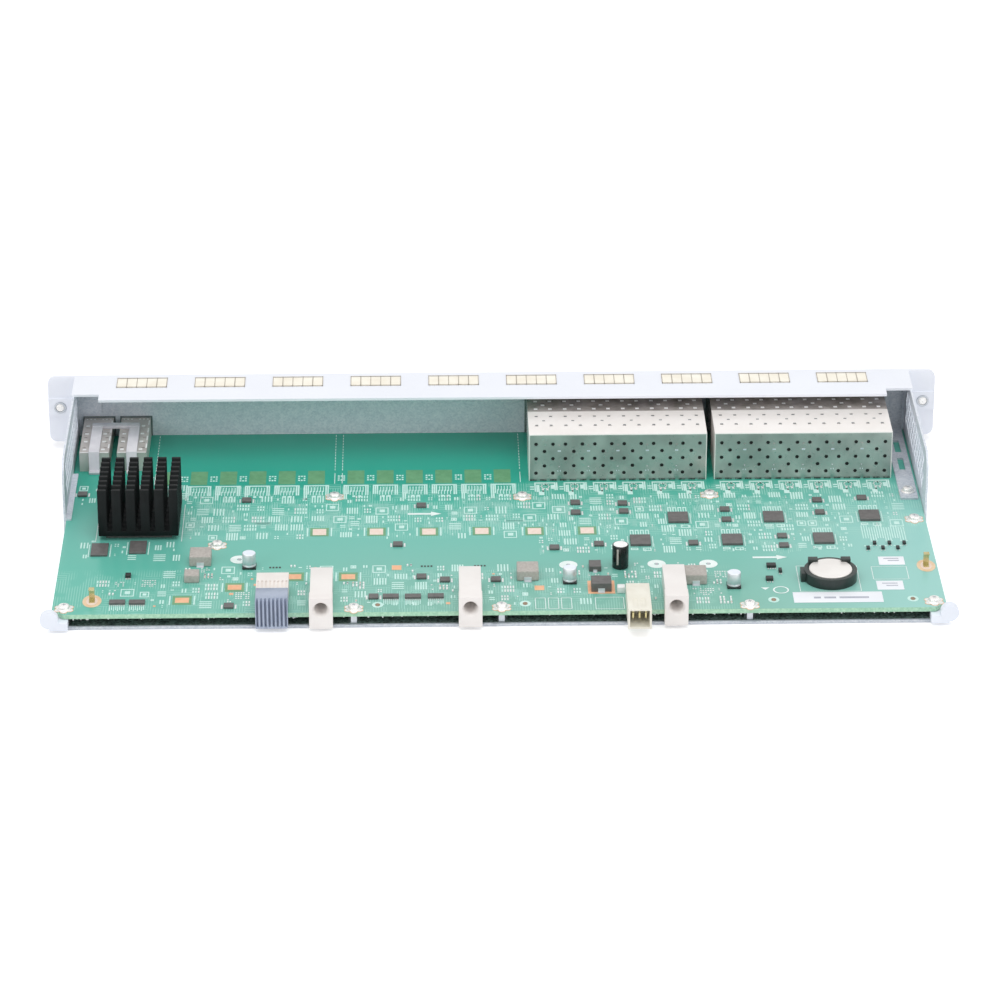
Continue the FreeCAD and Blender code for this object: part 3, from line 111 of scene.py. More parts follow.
def place_mm(tree):
    """Object coordinates in millimetres."""
    where = add(tree, "ShaderNodeTexCoord")
    scaled = add(tree, "ShaderNodeVectorMath", {"operation": "SCALE"},
                 {0: where.outputs["Object"], "Scale": 1 / MM})
    return scaled.outputs[0]


def noise(tree, where, size, detail=3.0):
    """Noise whose features are about size millimetres across."""
    made = add(tree, "ShaderNodeTexNoise", None, {"Vector": where, "Scale": 1 / size, "Detail": detail})
    return made.outputs["Fac"]


def steps(tree, value, stops):
    """A colour ramp over a value; stops are places and hex codes."""
    ramp = add(tree, "ShaderNodeValToRGB", None, {"Fac": value})
    ramp.color_ramp.elements[0].position = stops[0][0]
    ramp.color_ramp.elements[0].color = colour(stops[0][1])
    ramp.color_ramp.elements[1].position = stops[-1][0]
    ramp.color_ramp.elements[1].color = colour(stops[-1][1])
    for place, code in stops[1:-1]:
        ramp.color_ramp.elements.new(place).color = colour(code)
    return ramp.outputs["Color"]


def span(tree, value, low, high, to_low, to_high):
    """A value mapped from one range to another, and held at its ends."""
    made = add(tree, "ShaderNodeMapRange", None,
               {"Value": value, "From Min": low, "From Max": high, "To Min": to_low, "To Max": to_high})
    return made.outputs["Result"]


def sums(tree, operation, first, second):
    """One sum on two values."""
    return add(tree, "ShaderNodeMath", {"operation": operation}, {0: first, 1: second}).outputs[0]


def blend(tree, share, first, second):
    """Two colours mixed by a share; 6 and 7 are the node's colour inputs, and 2 its colour output."""
    return add(tree, "ShaderNodeMix", {"data_type": "RGBA"}, {0: share, 6: first, 7: second}).outputs[2]


def product(tree, first, *others):
    """Several values multiplied."""
    for other in others:
        first = sums(tree, "MULTIPLY", first, other)
    return first


def relief(tree, shader, height, distance, strength=1.0):
    """Bump of a real depth in millimetres."""
    bump = add(tree, "ShaderNodeBump", None,
               {"Height": height, "Distance": distance * MM, "Strength": strength})
    tree.links.new(bump.outputs["Normal"], shader.inputs["Normal"])


# ------------------------------------------------------------------------------ materials

def mottled(name, light, dark, size, rough, metallic=0.0, grain=0.02, extra=None):
    """A finish whose colour drifts between two tones, with a fine grain in roughness and relief."""
    values = {"Metallic": metallic, **(extra or {})}
    material, tree, shader = finish_named(name, values)
    where = place_mm(tree)
    drift = noise(tree, where, size)
    tree.links.new(steps(tree, drift, [(0.35, dark), (0.65, light)]), shader.inputs["Base Color"])
    fine = noise(tree, where, max(size * 0.08, 0.3), 2.0)
    tree.links.new(span(tree, fine, 0.3, 0.7, rough * 0.85, rough * 1.15), shader.inputs["Roughness"])
    if grain:
        relief(tree, shader, fine, grain)
    return material


def galvanised_sheet(name, dark, middle, light, metallic):
    """Zinc coated steel: a satin skin with a fine sparkle of small crystals."""
    material, tree, shader = finish_named(name, {"Metallic": metallic})
    where = place_mm(tree)
    crystal = 0.8
    crystals = add(tree, "ShaderNodeTexVoronoi", None, {"Vector": where, "Scale": 1 / crystal})
    tone = add(tree, "ShaderNodeSeparateColor", None, {"Color": crystals.outputs["Color"]})
    mixed = sums(tree, "ADD", product(tree, tone.outputs[0], 0.45),
                 product(tree, noise(tree, where, 3.0, 4.0), 0.55))
    tree.links.new(steps(tree, mixed, [(0.2, dark), (0.5, middle), (0.8, light)]),
                   shader.inputs["Base Color"])
    tree.links.new(span(tree, tone.outputs[1], 0, 1, 0.42, 0.56), shader.inputs["Roughness"])
    relief(tree, shader, mixed, 0.012)
    return material


def stack_plate_with_painted_reflection():
    """Tin plate of the stack shells: a darker band near the panel, a painted reflection of the shaded
    flange underside, pale and satin behind it.
    """
    material, tree, shader = finish_named("stack_tin_with_painted_reflection", {})
    where = place_mm(tree)
    depth = add(tree, "ShaderNodeSeparateXYZ", None, {"Vector": where}).outputs[1]
    band_end = 30.3
    behind = span(tree, depth, band_end, band_end + 0.9, 0.0, 1.0)
    broad = noise(tree, where, 18.0, 2.0)
    # painted reflection: this darker, more mirror-like band stands for the shaded underside of the flange
    # seen in the tin
    dull = steps(tree, noise(tree, where, 8.0, 3.0), [(0.35, "#9b9591"), (0.65, "#c0bab6")])
    pale = steps(tree, broad, [(0.35, "#f2ede9"), (0.65, "#f8f4f1")])
    tree.links.new(blend(tree, behind, dull, pale), shader.inputs["Base Color"])
    tree.links.new(span(tree, behind, 0, 1, 0.3, 0.2), shader.inputs["Metallic"])
    tree.links.new(span(tree, behind, 0, 1, 0.14, 0.32), shader.inputs["Roughness"])
    relief(tree, shader, broad, 0.02, 0.4)
    return material


def tin_plate(name, light, dark, rough, metallic, waves):
    """Tin plate on thin spring steel: a mirror or a satin skin, a little wavy from pressing."""
    material, tree, shader = finish_named(name, {"Metallic": metallic})
    where = place_mm(tree)
    broad = noise(tree, where, 14.0, 2.0)
    fine = noise(tree, where, 1.5, 2.0)
    tree.links.new(steps(tree, broad, [(0.35, dark), (0.65, light)]), shader.inputs["Base Color"])
    tree.links.new(span(tree, fine, 0.3, 0.7, rough * 0.9, rough * 1.2), shader.inputs["Roughness"])
    relief(tree, shader, broad, waves, 0.4)
    return material


def solder_mask():
    """Semi gloss green mask: darker near the panel as painted shade and paler towards the rear as painted
    sheen, with faint tracks in the busy bands.
    """
    material, tree, shader = finish_named("green_solder_mask", {"Roughness": 0.3, "IOR": 1.5})
    where = place_mm(tree)
    parts = add(tree, "ShaderNodeSeparateXYZ", None, {"Vector": where})
    x, y = parts.outputs[0], parts.outputs[1]
    # the green gets paler from the panel to the rear, more so on one side: painted shade near the panel,
    # painted sheen towards the rear
    drift = product(tree, sums(tree, "SUBTRACT", noise(tree, where, 26.0, 2.0), 0.5), 0.06)
    depth = sums(tree, "ADD", span(tree, y, 0, 200, 0, 1), drift)
    lit_and_shaded_green = steps(tree, depth, [(0.0, "#2aa38e"), (0.29, "#2ba58f"), (0.42, "#4fb4a1"),
                               (0.58, "#68baab"), (0.78, "#70b7a8"), (1.0, "#78b4a3")])
    right = product(tree, span(tree, x, -110, -190, 0, 0.85), span(tree, y, 60, 110, 0.3, 1))
    lit_and_shaded_green = blend(tree, right, lit_and_shaded_green, colour("#9ad0c9"))
    left = product(tree, span(tree, x, 60, 190, 0, 0.8), span(tree, y, 110, 150, 0, 1))
    lit_and_shaded_green = blend(tree, left, lit_and_shaded_green, colour("#54b7a4"))
    # tracks run along or across in each square patch, and show only in the busy bands
    patch, pitch_along, pitch_across = 7.0, 1.2, 1.9
    cells = add(tree, "ShaderNodeTexVoronoi", {"distance": "CHEBYCHEV"},
                {"Vector": where, "Scale": 1 / patch})
    pick = add(tree, "ShaderNodeSeparateColor", None, {"Color": cells.outputs["Color"]})
    along = sums(tree, "SINE", product(tree, x, math.tau / pitch_along), 0.0)
    across = sums(tree, "SINE", product(tree, y, math.tau / pitch_across), 0.0)
    upright = sums(tree, "GREATER_THAN", pick.outputs[0], 0.3)
    lines = sums(tree, "ADD", product(tree, along, upright),
                 product(tree, across, sums(tree, "SUBTRACT", 1.0, upright)))
    tracks = span(tree, lines, 0.1, 0.6, 0.0, 1.0)
    busy = product(tree, span(tree, y, 60, 63, 0, 1), span(tree, y, 112, 124, 1, 0),
                   span(tree, x, 148, 156, 1, 0))
    rear = product(tree, span(tree, y, 152, 158, 0, 1), span(tree, x, -112, -100, 0, 1), 0.7)
    patchy = span(tree, noise(tree, where, 9.0, 1.0), 0.4, 0.52, 0.0, 1.0)
    shown = product(tree, tracks, sums(tree, "MAXIMUM", busy, rear), patchy, 0.6)
    green = blend(tree, shown, lit_and_shaded_green, colour("#a8dacd"))
    # the cut edge of the board is bare laminate
    shape = add(tree, "ShaderNodeNewGeometry")
    facing = add(tree, "ShaderNodeSeparateXYZ", None, {"Vector": shape.outputs["Normal"]})
    side = sums(tree, "LESS_THAN", sums(tree, "ABSOLUTE", facing.outputs[2], 0.0), 0.5)
    edge = steps(tree, noise(tree, where, 1.2), [(0.3, "#8fc3a6"), (0.7, "#b4dcbf")])
    tree.links.new(blend(tree, side, green, edge), shader.inputs["Base Color"])
    relief(tree, shader, sums(tree, "ADD", shown, noise(tree, where, 2.0)), 0.02, 0.5)
    return material


def chip_part_finish():
    """Ceramic chip parts: dark, tan or white bodies between tinned ends."""
    material, tree, shader = finish_named("ceramic_chip_part", {"Roughness": 0.4})
    tone = add(tree, "ShaderNodeAttribute", {"attribute_name": "tone"})
    end = add(tree, "ShaderNodeAttribute", {"attribute_name": "end"})
    body = steps(tree, tone.outputs["Fac"], [
        (0.0, "#4a4c4c"), (0.09, "#4a4c4c"), (0.1, "#b39a80"), (0.3, "#c9b8a4"), (0.31, "#dfe7e4"),
        (1.0, "#f2f5f3")])
    tree.links.new(blend(tree, end.outputs["Fac"], body, colour("#eef1f0")), shader.inputs["Base Color"])
    return material


# plain name: material, light and dark tone, size of its patches in mm, roughness, then where they
# differ from none metallic, the grain in mm and other plain values of the shader
MOTTLED = {
    # powder coats on the panel and the cast lugs
    "panel": ("powder_coat_white", "#eff2f9", "#eceff7", 40, 0.5, 0.0, 0.015),
    "ear": ("powder_coat_blue_white", "#eaeff8", "#e6ebf5", 30, 0.5, 0.0, 0.015),
    # mouldings
    "epoxy": ("grey_mould_compound", "#676564", "#5b5958", 3, 0.45, 0.0, 0.01),
    "black": ("black_mould_compound", "#242727", "#1b1e1e", 3, 0.45, 0.0, 0.01),
    "guide": ("off_white_moulding", "#eeeae7", "#e9e4e1", 14, 0.4, 0.0, 0.01),
    "beige": ("pale_beige_moulding", "#f1ebe6", "#e9e2dd", 8, 0.42),
    "lavender": ("lavender_moulding", "#a9b3c6", "#98a3b8", 8, 0.42),
    "cream": ("cream_moulding", "#ece9dd", "#e4e0d2", 8, 0.42),
    "port_black": ("black_port_moulding", "#161616", "#101010", 8, 0.45),
    "holder": ("black_holder_moulding", "#27322f", "#1e2826", 6, 0.38),
    "acrylic": ("milky_acrylic", "#ecebf1", "#dddce4", 9, 0.2, 0.0, 0.0,
                {"Transmission Weight": 0.2, "IOR": 1.49}),
    # metals and platings
    "anodised": ("black_anodised_aluminium", "#0f1415", "#0a0e0f", 6, 0.55, 0.0, 0.01,
                 {"Specular IOR Level": 0.2}),
    "gold": ("gold_flashed_brass", "#d9cfa4", "#c2b684", 4, 0.25, 0.9),
    "nickel": ("bright_nickel", "#f4f3f1", "#e9e7e4", 5, 0.3, 0.6),
    "zinc": ("satin_zinc", "#c3c7cc", "#b3b8be", 6, 0.36, 1.0),
    "cell": ("cell_can_steel", "#f3f0ec", "#ebe7e3", 12, 0.35, 0.3, 0.0),
    "finger": ("plated_spring_strip", "#fbf7ea", "#f3ecdc", 10, 0.4),
    "collar": ("smoked_spring_steel", "#7f8788", "#6d7576", 5, 0.4, 0.5),
    "window_line": ("dull_cut_edge", "#c2b9ab", "#b0a799", 3, 0.5),
    # wound and rolled parts
    "ferrite": ("pressed_ferrite", "#b9b4ae", "#aaa49e", 1.2, 0.6, 0.0, 0.04),
    "can": ("drawn_aluminium_can", "#e2e5e8", "#d3d7db", 5, 0.35, 0.5),
    "can_top": ("pale_can_crown", "#eef3fb", "#e4ebf6", 5, 0.4, 0.2),
    "crown": ("white_can_crown", "#fafafa", "#f2f2f2", 4, 0.4, 0.1),
    "sleeve": ("black_shrunk_sleeve", "#14191a", "#0d1112", 5, 0.18),
    "film": ("white_film_case", "#eef0ee", "#e6e8e6", 3, 0.4),
    # lands, inks and papers of the board
    "tinned": ("tinned_pad", "#f2f4f3", "#dfe6e4", 2, 0.35, 0.35),
    "copper": ("bare_copper_pad", "#f3bd96", "#edb086", 3, 0.38, 0.05),
    "peach": ("pale_flux_pad", "#f3e0d5", "#edd6c8", 2, 0.45),
    "spring_land": ("tinned_copper_land", "#ecd0ae", "#e4c19a", 3, 0.4),
    "brown_land": ("aged_copper_land", "#a08a72", "#86705a", 1, 0.4, 0.3),
    "ochre": ("mask_over_contact_land", "#6fa67a", "#649b70", 3, 0.35),
    "track": ("mask_over_copper", "#9bd2c6", "#86c6b9", 4, 0.32),
    "legend": ("white_legend_ink", "#eef7f5", "#e4f1ee", 3, 0.55),
    "mint": ("pale_mint_ink", "#d2f1ea", "#c2e9e0", 3, 0.5),
    "paper": ("white_label_paper", "#f3f5fa", "#eceff5", 20, 0.55),
    "print": ("grey_label_print", "#b9bcc8", "#adb1be", 3, 0.6),
    # dark speckled film: where it lies on the tray floor it is painted shade under the board's rear edge
    "film_black": ("dark_speckled_film", "#6d7e77", "#1f2926", 1.0, 0.5),
}


def make_finishes():
    """Every material of the card, by a plain name."""
    made = {name: mottled(*values) for name, values in MOTTLED.items()}
    made.update({
        "galvanised": galvanised_sheet("galvanised_sheet", "#b3bac4", "#c4cad2", "#d2d6dc", 0.2),
        "bright_zinc": galvanised_sheet("bright_zinc_sheet", "#ccd3de", "#dae0e9", "#e8ebf2", 0.08),
        "tin": tin_plate("bright_tin_plate", "#fbf8f5", "#f3efeb", 0.05, 1.0, 0.012),
        "satin_tin": tin_plate("satin_tin_plate", "#c6c2bf", "#aeaaa8", 0.3, 1.0, 0.05),
        "cage": tin_plate("dull_cage_plate", "#d6cfcb", "#c2bbb7", 0.36, 0.35, 0.03),
        "stack_tin": stack_plate_with_painted_reflection(),
        "mask": solder_mask(),
        "chip_part": chip_part_finish(),
    })
    return made


# finish: the CAD nodes that wear it
WORN_BY = {
    "panel": "front_panel",
    "galvanised": "base_tray board_bracket",
    "bright_zinc": "front_liner side_wall_left side_wall_right",
    "ear": "corner_lug_left corner_lug_right ejector_lever_left ejector_lever_right",
    "finger": "emi_finger_strips",
    "mask": "printed_circuit_board",
    "anodised": "heat_sink",
    "epoxy": "switch_chip port_chips memory_chips logic_chips driver_chips power_semiconductors",
    "acrylic": "light_pipe",
    "cell": "coin_cell",
    "holder": "coin_cell_holder",
    "ferrite": "power_inductors filter_choke",
    "can": "can_capacitors",
    "sleeve": "tall_capacitor",
    "film": "film_capacitor",
    "gold": "ground_springs power_connector_blades",
    "cream": "power_connector_housing",
    "beige": "signal_connector_cap",
    "lavender": "signal_connector_comb",
    "guide": "guide_socket_1 guide_socket_2 guide_socket_3",
    "nickel": "board_screws lever_pins captive_screw_left captive_screw_right",
    "zinc": "board_standoffs lever_bracket_left lever_bracket_right captive_ferrule_left"
            " captive_ferrule_right captive_washer_left captive_washer_right",
    "cage": "single_cage_1 single_cage_2",
    "stack_tin": "cage_stack_1_shell cage_stack_2_shell",
    "satin_tin": "cage_stack_1_rear_cover cage_stack_2_rear_cover",
    "tin": "cage_stack_1_dividers cage_stack_2_dividers cage_stack_1_separators cage_stack_2_separators",
    "port_black": "single_cage_connectors cage_stack_1_connectors cage_stack_2_connectors",
}
FINISH_OF = {node: finish for finish, nodes in WORN_BY.items() for node in nodes.split()}
finishes = {}


# ----------------------------------------------------------------------------- mesh tools

def body_of_node(name):
    """The body that a CAD node belongs to."""
    bodies = frame["record"]["behaviour"]["bodies"]
    return next(body for body, nodes in bodies.items() if name in nodes)


def object_from(name, mesh, finish=None, body="card"):
    """A finished piece: its mesh as an object that rides on a body; no finish keeps the mesh's own."""
    piece = bpy.data.objects.new(name, mesh)
    bpy.context.scene.collection.objects.link(piece)
    if finish is not None:
        mesh.materials.append(finishes[finish])
    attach(piece, body)
    return piece


def mesh_from(name, points, faces):
    """A mesh from points in millimetres."""
    mesh = bpy.data.meshes.new(name)
    mesh.from_pydata([Vector(point) * MM for point in points], [], faces)
    mesh.update()
    return mesh


def box_mm(name):
    """Low and high corners of a CAD node, in millimetres."""
    low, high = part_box(name)
    return low / MM, high / MM


def islands(name):
    """Low and high corners, in millimetres, of each separate solid of a CAD node."""
    work = bmesh.new()
    work.from_mesh(frame["nodes"][name].data)
    bmesh.ops.remove_doubles(work, verts=work.verts, dist=1e-6)
    seen = set()
    found = []
    for start in work.verts:
        if start in seen:
            continue
        waiting, group = [start], []
        seen.add(start)
        while waiting:
            vert = waiting.pop()
            group.append(vert.co / MM)
            for edge in vert.link_edges:
                other = edge.other_vert(vert)
                if other not in seen:
                    seen.add(other)
                    waiting.append(other)
        low = Vector([min(point[axis] for point in group) for axis in range(3)])
        high = Vector([max(point[axis] for point in group) for axis in range(3)])
        found.append((low, high))
    work.free()
    return found


def softened(name, width, segments=2):
    """Stand in for a CAD node: the same solid with its sharp edges rounded by a width in millimetres."""
    mesh = frame["nodes"][name].data.copy()
    mesh.name = f"{name}_soft"
    mesh.materials.clear()
    work = bmesh.new()
    work.from_mesh(mesh)
    bmesh.ops.remove_doubles(work, verts=work.verts, dist=2e-6)
    bmesh.ops.dissolve_limit(work, angle_limit=math.radians(1), verts=work.verts, edges=work.edges)
    sharp = [edge for edge in work.edges
             if len(edge.link_faces) == 2 and edge.calc_face_angle(0) > math.radians(40)]
    bmesh.ops.bevel(work, geom=sharp, offset=width * MM, segments=segments, profile=0.6,
                    affect="EDGES", clamp_overlap=True)
    bmesh.ops.triangulate(work, faces=[face for face in work.faces if len(face.verts) > 4])
    work.to_mesh(mesh)
    work.free()
    mesh.shade_smooth()
    mesh.set_sharp_from_angle(angle=math.radians(35))
    piece = object_from(f"{name}_soft", mesh, FINISH_OF[name], body_of_node(name))
    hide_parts(name)
    return piece


def shortened(piece, start, top):
    """Squeeze what stands above a height, so that the piece ends at a new top, in millimetres."""
    mesh = piece.data
    old_top = max(vert.co.z for vert in mesh.vertices) / MM
    for vert in mesh.vertices:
        rise = vert.co.z / MM
        if rise > start:
            vert.co.z = (start + (rise - start) * (top - start) / (old_top - start)) * MM
    mesh.update()


def lathe(name, profile, centre=(0, 0, 0), axis="Z", segments=48):
    """A closed turned solid: profile is radius and height in millimetres, from pole to pole."""
    turn = {"Z": Matrix(), "Y": Matrix.Rotation(-math.pi / 2, 4, "X")}[axis]
    points, faces, rings = [], [], []
    for radius, height in profile:
        if radius < 1e-6:
            rings.append([len(points)])
            points.append(turn @ Vector((0, 0, height)) + Vector(centre))
            continue
        ring = []
        for number in range(segments):
            angle = math.tau * number / segments
            ring.append(len(points))
            flat = Vector((radius * math.cos(angle), radius * math.sin(angle), height))
            points.append(turn @ flat + Vector(centre))
        rings.append(ring)
    for lower, upper in zip(rings, rings[1:]):
        for number in range(segments):
            after = (number + 1) % segments
            if len(lower) == 1:
                faces.append((lower[0], upper[after], upper[number]))
            elif len(upper) == 1:
                faces.append((lower[number], lower[after], upper[0]))
            else:
                faces.append((lower[number], lower[after], upper[after], upper[number]))
    mesh = mesh_from(name, points, faces)
    work = bmesh.new()
    work.from_mesh(mesh)
    bmesh.ops.recalc_face_normals(work, faces=work.faces)
    work.to_mesh(mesh)
    work.free()
    mesh.shade_smooth()
    mesh.set_sharp_from_angle(angle=math.radians(35))
    return mesh


def joined(name, meshes):
    """Several meshes as one."""
    work = bmesh.new()
    for mesh in meshes:
        work.from_mesh(mesh)
    result = bpy.data.meshes.new(name)
    work.to_mesh(result)
    work.free()
    for mesh in meshes:
        bpy.data.meshes.remove(mesh)
    return result


def assembled(name, meshes, finish):
    """A piece joined from several meshes."""
    return object_from(name, joined(name, meshes), finish)


def puck(name, radius, height, segments):
    """A flat turned disc that stands on the ground plane."""
    return lathe(name, [(0, 0), (radius, 0), (radius, height), (0, height)], segments=segments)


def block(name, low, high, bevel=0.0):
    """A closed block between two corners in millimetres, with rounded edges."""
    work = bmesh.new()
    bmesh.ops.create_cube(work, size=1.0)
    for vert in work.verts:
        vert.co = Vector([(low[axis] + (high[axis] - low[axis]) * (vert.co[axis] + 0.5)) * MM
                          for axis in range(3)])
    if bevel:
        bmesh.ops.bevel(work, geom=work.edges[:], offset=bevel * MM, segments=2, profile=0.6,
                        affect="EDGES", clamp_overlap=True)
    mesh = bpy.data.meshes.new(name)
    work.to_mesh(mesh)
    work.free()
    mesh.shade_smooth()
    mesh.set_sharp_from_angle(angle=math.radians(50))
    return mesh


def flat_faces(name, corners):
    """Separate flat faces of four corners each."""
    points = [point for four in corners for point in four]
    return mesh_from(name, points, [tuple(range(first, first + 4)) for first in range(0, len(points), 4)])


def level(height, number):
    """Height of the numbered mark of a kind that lies a little above the board."""
    return BOARD_TOP + height + LEVEL_STEP * (number % LEVELS)


def ribbons(name, lines, width, height):
    """Flat strips that face up: each line is two points, and height is how far above the board."""
    corners = []
    for number, (start, end) in enumerate(lines):
        rise = level(height, number)
        a, b = Vector((*start, rise)), Vector((*end, rise))
        run = b - a
        side = Vector((-run.y, run.x, 0)).normalized() * width / 2
        corners.append((a - side, b - side, b + side, a + side))
    return flat_faces(name, corners)


def raised_plates(name, boxes):
    """Flat rectangles that face up, each from two corners at its own height."""
    return flat_faces(name, [((x0, y0, rise), (x1, y0, rise), (x1, y1, rise), (x0, y1, rise))
                             for (x0, y0, rise), (x1, y1, _) in boxes])


def printed(name, boxes, height, finish):
    """A piece of flat rectangles on the board that face up, each from its low and high corner."""
    mesh = raised_plates(name, [((*low, level(height, number)), (*high, 0))
                                for number, (low, high) in enumerate(boxes)])
    return object_from(name, mesh, finish)


def oval(name, x, y, reach_x, reach_y, rise, corners):
    """A flat oval that faces up."""
    turns = [math.tau * k / corners for k in range(corners)]
    return mesh_from(name, [(x + reach_x * math.cos(turn), y + reach_y * math.sin(turn), rise)
                            for turn in turns], [tuple(range(corners))])


def ovals(name, places, reach_x, reach_y, height, corners):
    """One oval at each place on the board, as one mesh."""
    return joined(name, [oval("oval", x, y, reach_x, reach_y, BOARD_TOP + height, corners)
                         for x, y in places])


def flat_ring(name, x, y, inner, outer, rise, corners=32):
    """A flat ring that faces up."""
    turns = [math.tau * k / corners for k in range(corners)]
    points = [(x + radius * math.cos(turn), y + radius * math.sin(turn), rise)
              for turn in turns for radius in (inner, outer)]
    faces = []
    for k in range(corners):
        a, b = 2 * k, 2 * ((k + 1) % corners)
        faces.append((a, a + 1, b + 1, b))
    return mesh_from(name, points, faces)


# ---------------------------------------------------------------------------- node trees

def copies_tree():
    """Stands copies of one piece on a cloud of points, turned and toned by the points."""
    tree = bpy.data.node_groups.new("stand_copies", "GeometryNodeTree")
    for label, kind in (("Points", "NodeSocketGeometry"), ("Piece", "NodeSocketObject"),
                        ("Finish", "NodeSocketMaterial")):
        tree.interface.new_socket(name=label, in_out="INPUT", socket_type=kind)
    tree.interface.new_socket(name="Copies", in_out="OUTPUT", socket_type="NodeSocketGeometry")
    given = add(tree, "NodeGroupInput").outputs
    piece = add(tree, "GeometryNodeObjectInfo", None, {"Object": given["Piece"]})
    turn = add(tree, "GeometryNodeInputNamedAttribute", {"data_type": "FLOAT"}, {"Name": "turn"})
    angles = add(tree, "ShaderNodeCombineXYZ", None, {"Z": turn.outputs["Attribute"]})
    stood = add(tree, "GeometryNodeInstanceOnPoints", None,
                {"Points": given["Points"], "Instance": piece.outputs["Geometry"],
                 "Rotation": angles.outputs[0]})
    real = add(tree, "GeometryNodeRealizeInstances", None, {"Geometry": stood.outputs[0]})
    painted = add(tree, "GeometryNodeSetMaterial", None,
                  {"Geometry": real.outputs[0], "Material": given["Finish"]})
    add(tree, "NodeGroupOutput", None, {"Copies": painted.outputs[0]})
    return tree


def stand_copies(name, piece_mesh, spots, finish):
    """Copies of a mesh at (x, y, z, turn, tone) spots in millimetres, as one plain mesh on the card."""
    tree = bpy.data.node_groups.get("stand_copies") or copies_tree()
    seed = bpy.data.objects.new(f"{name}_seed", piece_mesh)
    cloud = bpy.data.meshes.new(f"{name}_cloud")
    cloud.from_pydata([(x * MM, y * MM, z * MM) for x, y, z, _, _ in spots], [], [])
    for label, column in (("turn", 3), ("tone", 4)):
        stored = cloud.attributes.new(label, "FLOAT", "POINT")
        stored.data.foreach_set("value", [float(spot[column]) for spot in spots])
    carrier = bpy.data.objects.new(f"{name}_carrier", cloud)
    for item in (seed, carrier):
        bpy.context.scene.collection.objects.link(item)
    modifier = carrier.modifiers.new("copies", "NODES")
    modifier.node_group = tree
    given = {"Piece": seed, "Finish": finishes[finish]}
    for socket in tree.interface.items_tree:
        if socket.in_out == "INPUT" and socket.name in given:
            modifier[socket.identifier] = given[socket.name]
    depsgraph = bpy.context.evaluated_depsgraph_get()
    result = bpy.data.meshes.new_from_object(carrier.evaluated_get(depsgraph), depsgraph=depsgraph)
    result.name = name
    carrier.modifiers.remove(modifier)
    for item in (seed, carrier):
        bpy.data.objects.remove(item)
    return object_from(name, result)


# ---------------------------------------------------------------------------- settings

def length_setting(name, description, default, least):
    """A length that is given in millimetres and kept in metres."""
    return bpy.props.FloatProperty(name=name, description=description, default=default * MM,
                                   min=least * MM, subtype="DISTANCE", unit="LENGTH")


class BoardSettings(bpy.types.PropertyGroup):
    """Sizes of what is spread over the board."""

    seed: bpy.props.IntProperty(name="Seed", description="Layout of the small parts", default=7, min=0)
    chip_part_length: length_setting("Chip part length", "Length of a small resistor or capacitor",
                                     1.6, 0.5)
    track_width: length_setting("Track width", "Width of a raised copper track", 0.36, 0.1)
    legend_width: length_setting("Legend width", "Width of a printed legend line", 0.3, 0.1)


class MetalSettings(bpy.types.PropertyGroup):
    """Edge radii of the sheet and moulded parts."""

    edge_radius: length_setting("Edge radius", "Rounding of moulded edges", 0.35, 0.05)
    sheet_radius: length_setting("Sheet radius", "Rounding of sheet edges", 0.2, 0.02)


class StageSettings(bpy.types.PropertyGroup):
    """Floor, light and camera."""

    lens: bpy.props.FloatProperty(name="Lens", description="Focal length in mm", default=157.22, min=10)
    camera_place: bpy.props.FloatVectorProperty(
        name="Camera place", description="Where the camera stands", subtype="XYZ", unit="LENGTH",
        default=(0.035275, 1.982092, 0.90672))
    camera_down: bpy.props.FloatProperty(
        name="Camera down", description="How far the camera looks down", default=math.radians(25.2964),
        subtype="ANGLE", unit="ROTATION")
    camera_side: bpy.props.FloatProperty(
        name="Camera side", description="How far the camera is turned to the side",
        default=math.radians(1.1322), subtype="ANGLE", unit="ROTATION")
    floor_colour: bpy.props.FloatVectorProperty(
        name="Floor colour", description="Colour of the floor", subtype="COLOR", size=4, min=0, max=1,
        default=colour("#fbfbfc"))
    sky_strength: bpy.props.FloatProperty(
        name="Sky strength", description="Even light from all around", default=0.58, min=0)
    key_power: bpy.props.FloatProperty(name="Key power", description="Watts of the top light",
                                       default=9.5, min=0)
    side_power: bpy.props.FloatProperty(name="Side power", description="Watts of each side light",
                                        default=4.3, min=0)


# --------------------------------------------------------------------------- operators

class LINECARD_OT_finishes(bpy.types.Operator):
    """Make every material and put it on the CAD nodes"""

    bl_idname = "linecard.finishes"
    bl_label = "Finishes"

    def execute(self, context):
        finishes.update(make_finishes())
        for name, node in frame["nodes"].items():
            node.data.materials.clear()
            node.data.materials.append(finishes[FINISH_OF[name]])
        return {"FINISHED"}


class LINECARD_OT_soften(bpy.types.Operator):
    """Round the edges of the moulded and cast pieces"""

    bl_idname = "linecard.soften"
    bl_label = "Rounded edges"

    def execute(self, context):
        metal = context.scene.linecard_metal
        moulded = metal.edge_radius / MM
        sheet = metal.sheet_radius / MM
        for name in ("guide_socket_1", "guide_socket_2", "guide_socket_3", "signal_connector_cap",
                     "power_connector_housing", "film_capacitor"):
            softened(name, moulded)
        # the levers are squeezed so that they don't show above the ears from behind
        squeezed_from, lever_top = 28.0, 34.6
        for name in ("ejector_lever_left", "ejector_lever_right"):
            shortened(softened(name, moulded), squeezed_from, lever_top)
        for name in ("power_inductors", "filter_choke"):
            softened(name, moulded * 1.8, segments=3)
        for name in ("signal_connector_comb", "light_pipe", "heat_sink", "port_chips", "memory_chips",
                     "logic_chips", "driver_chips", "power_semiconductors"):
            softened(name, sheet * 0.7, segments=1)
        return {"FINISHED"}


class LINECARD_OT_turned(bpy.types.Operator):
    """Turned and pressed round pieces: screws, capacitor cans, lugs and the coin cell"""

    bl_idname = "linecard.turned"
    bl_label = "Round pieces"

    def execute(self, context):
        board_screws()
        capacitors()
        coin_cell()
        corner_lugs()
        captive_hardware()
        return {"FINISHED"}


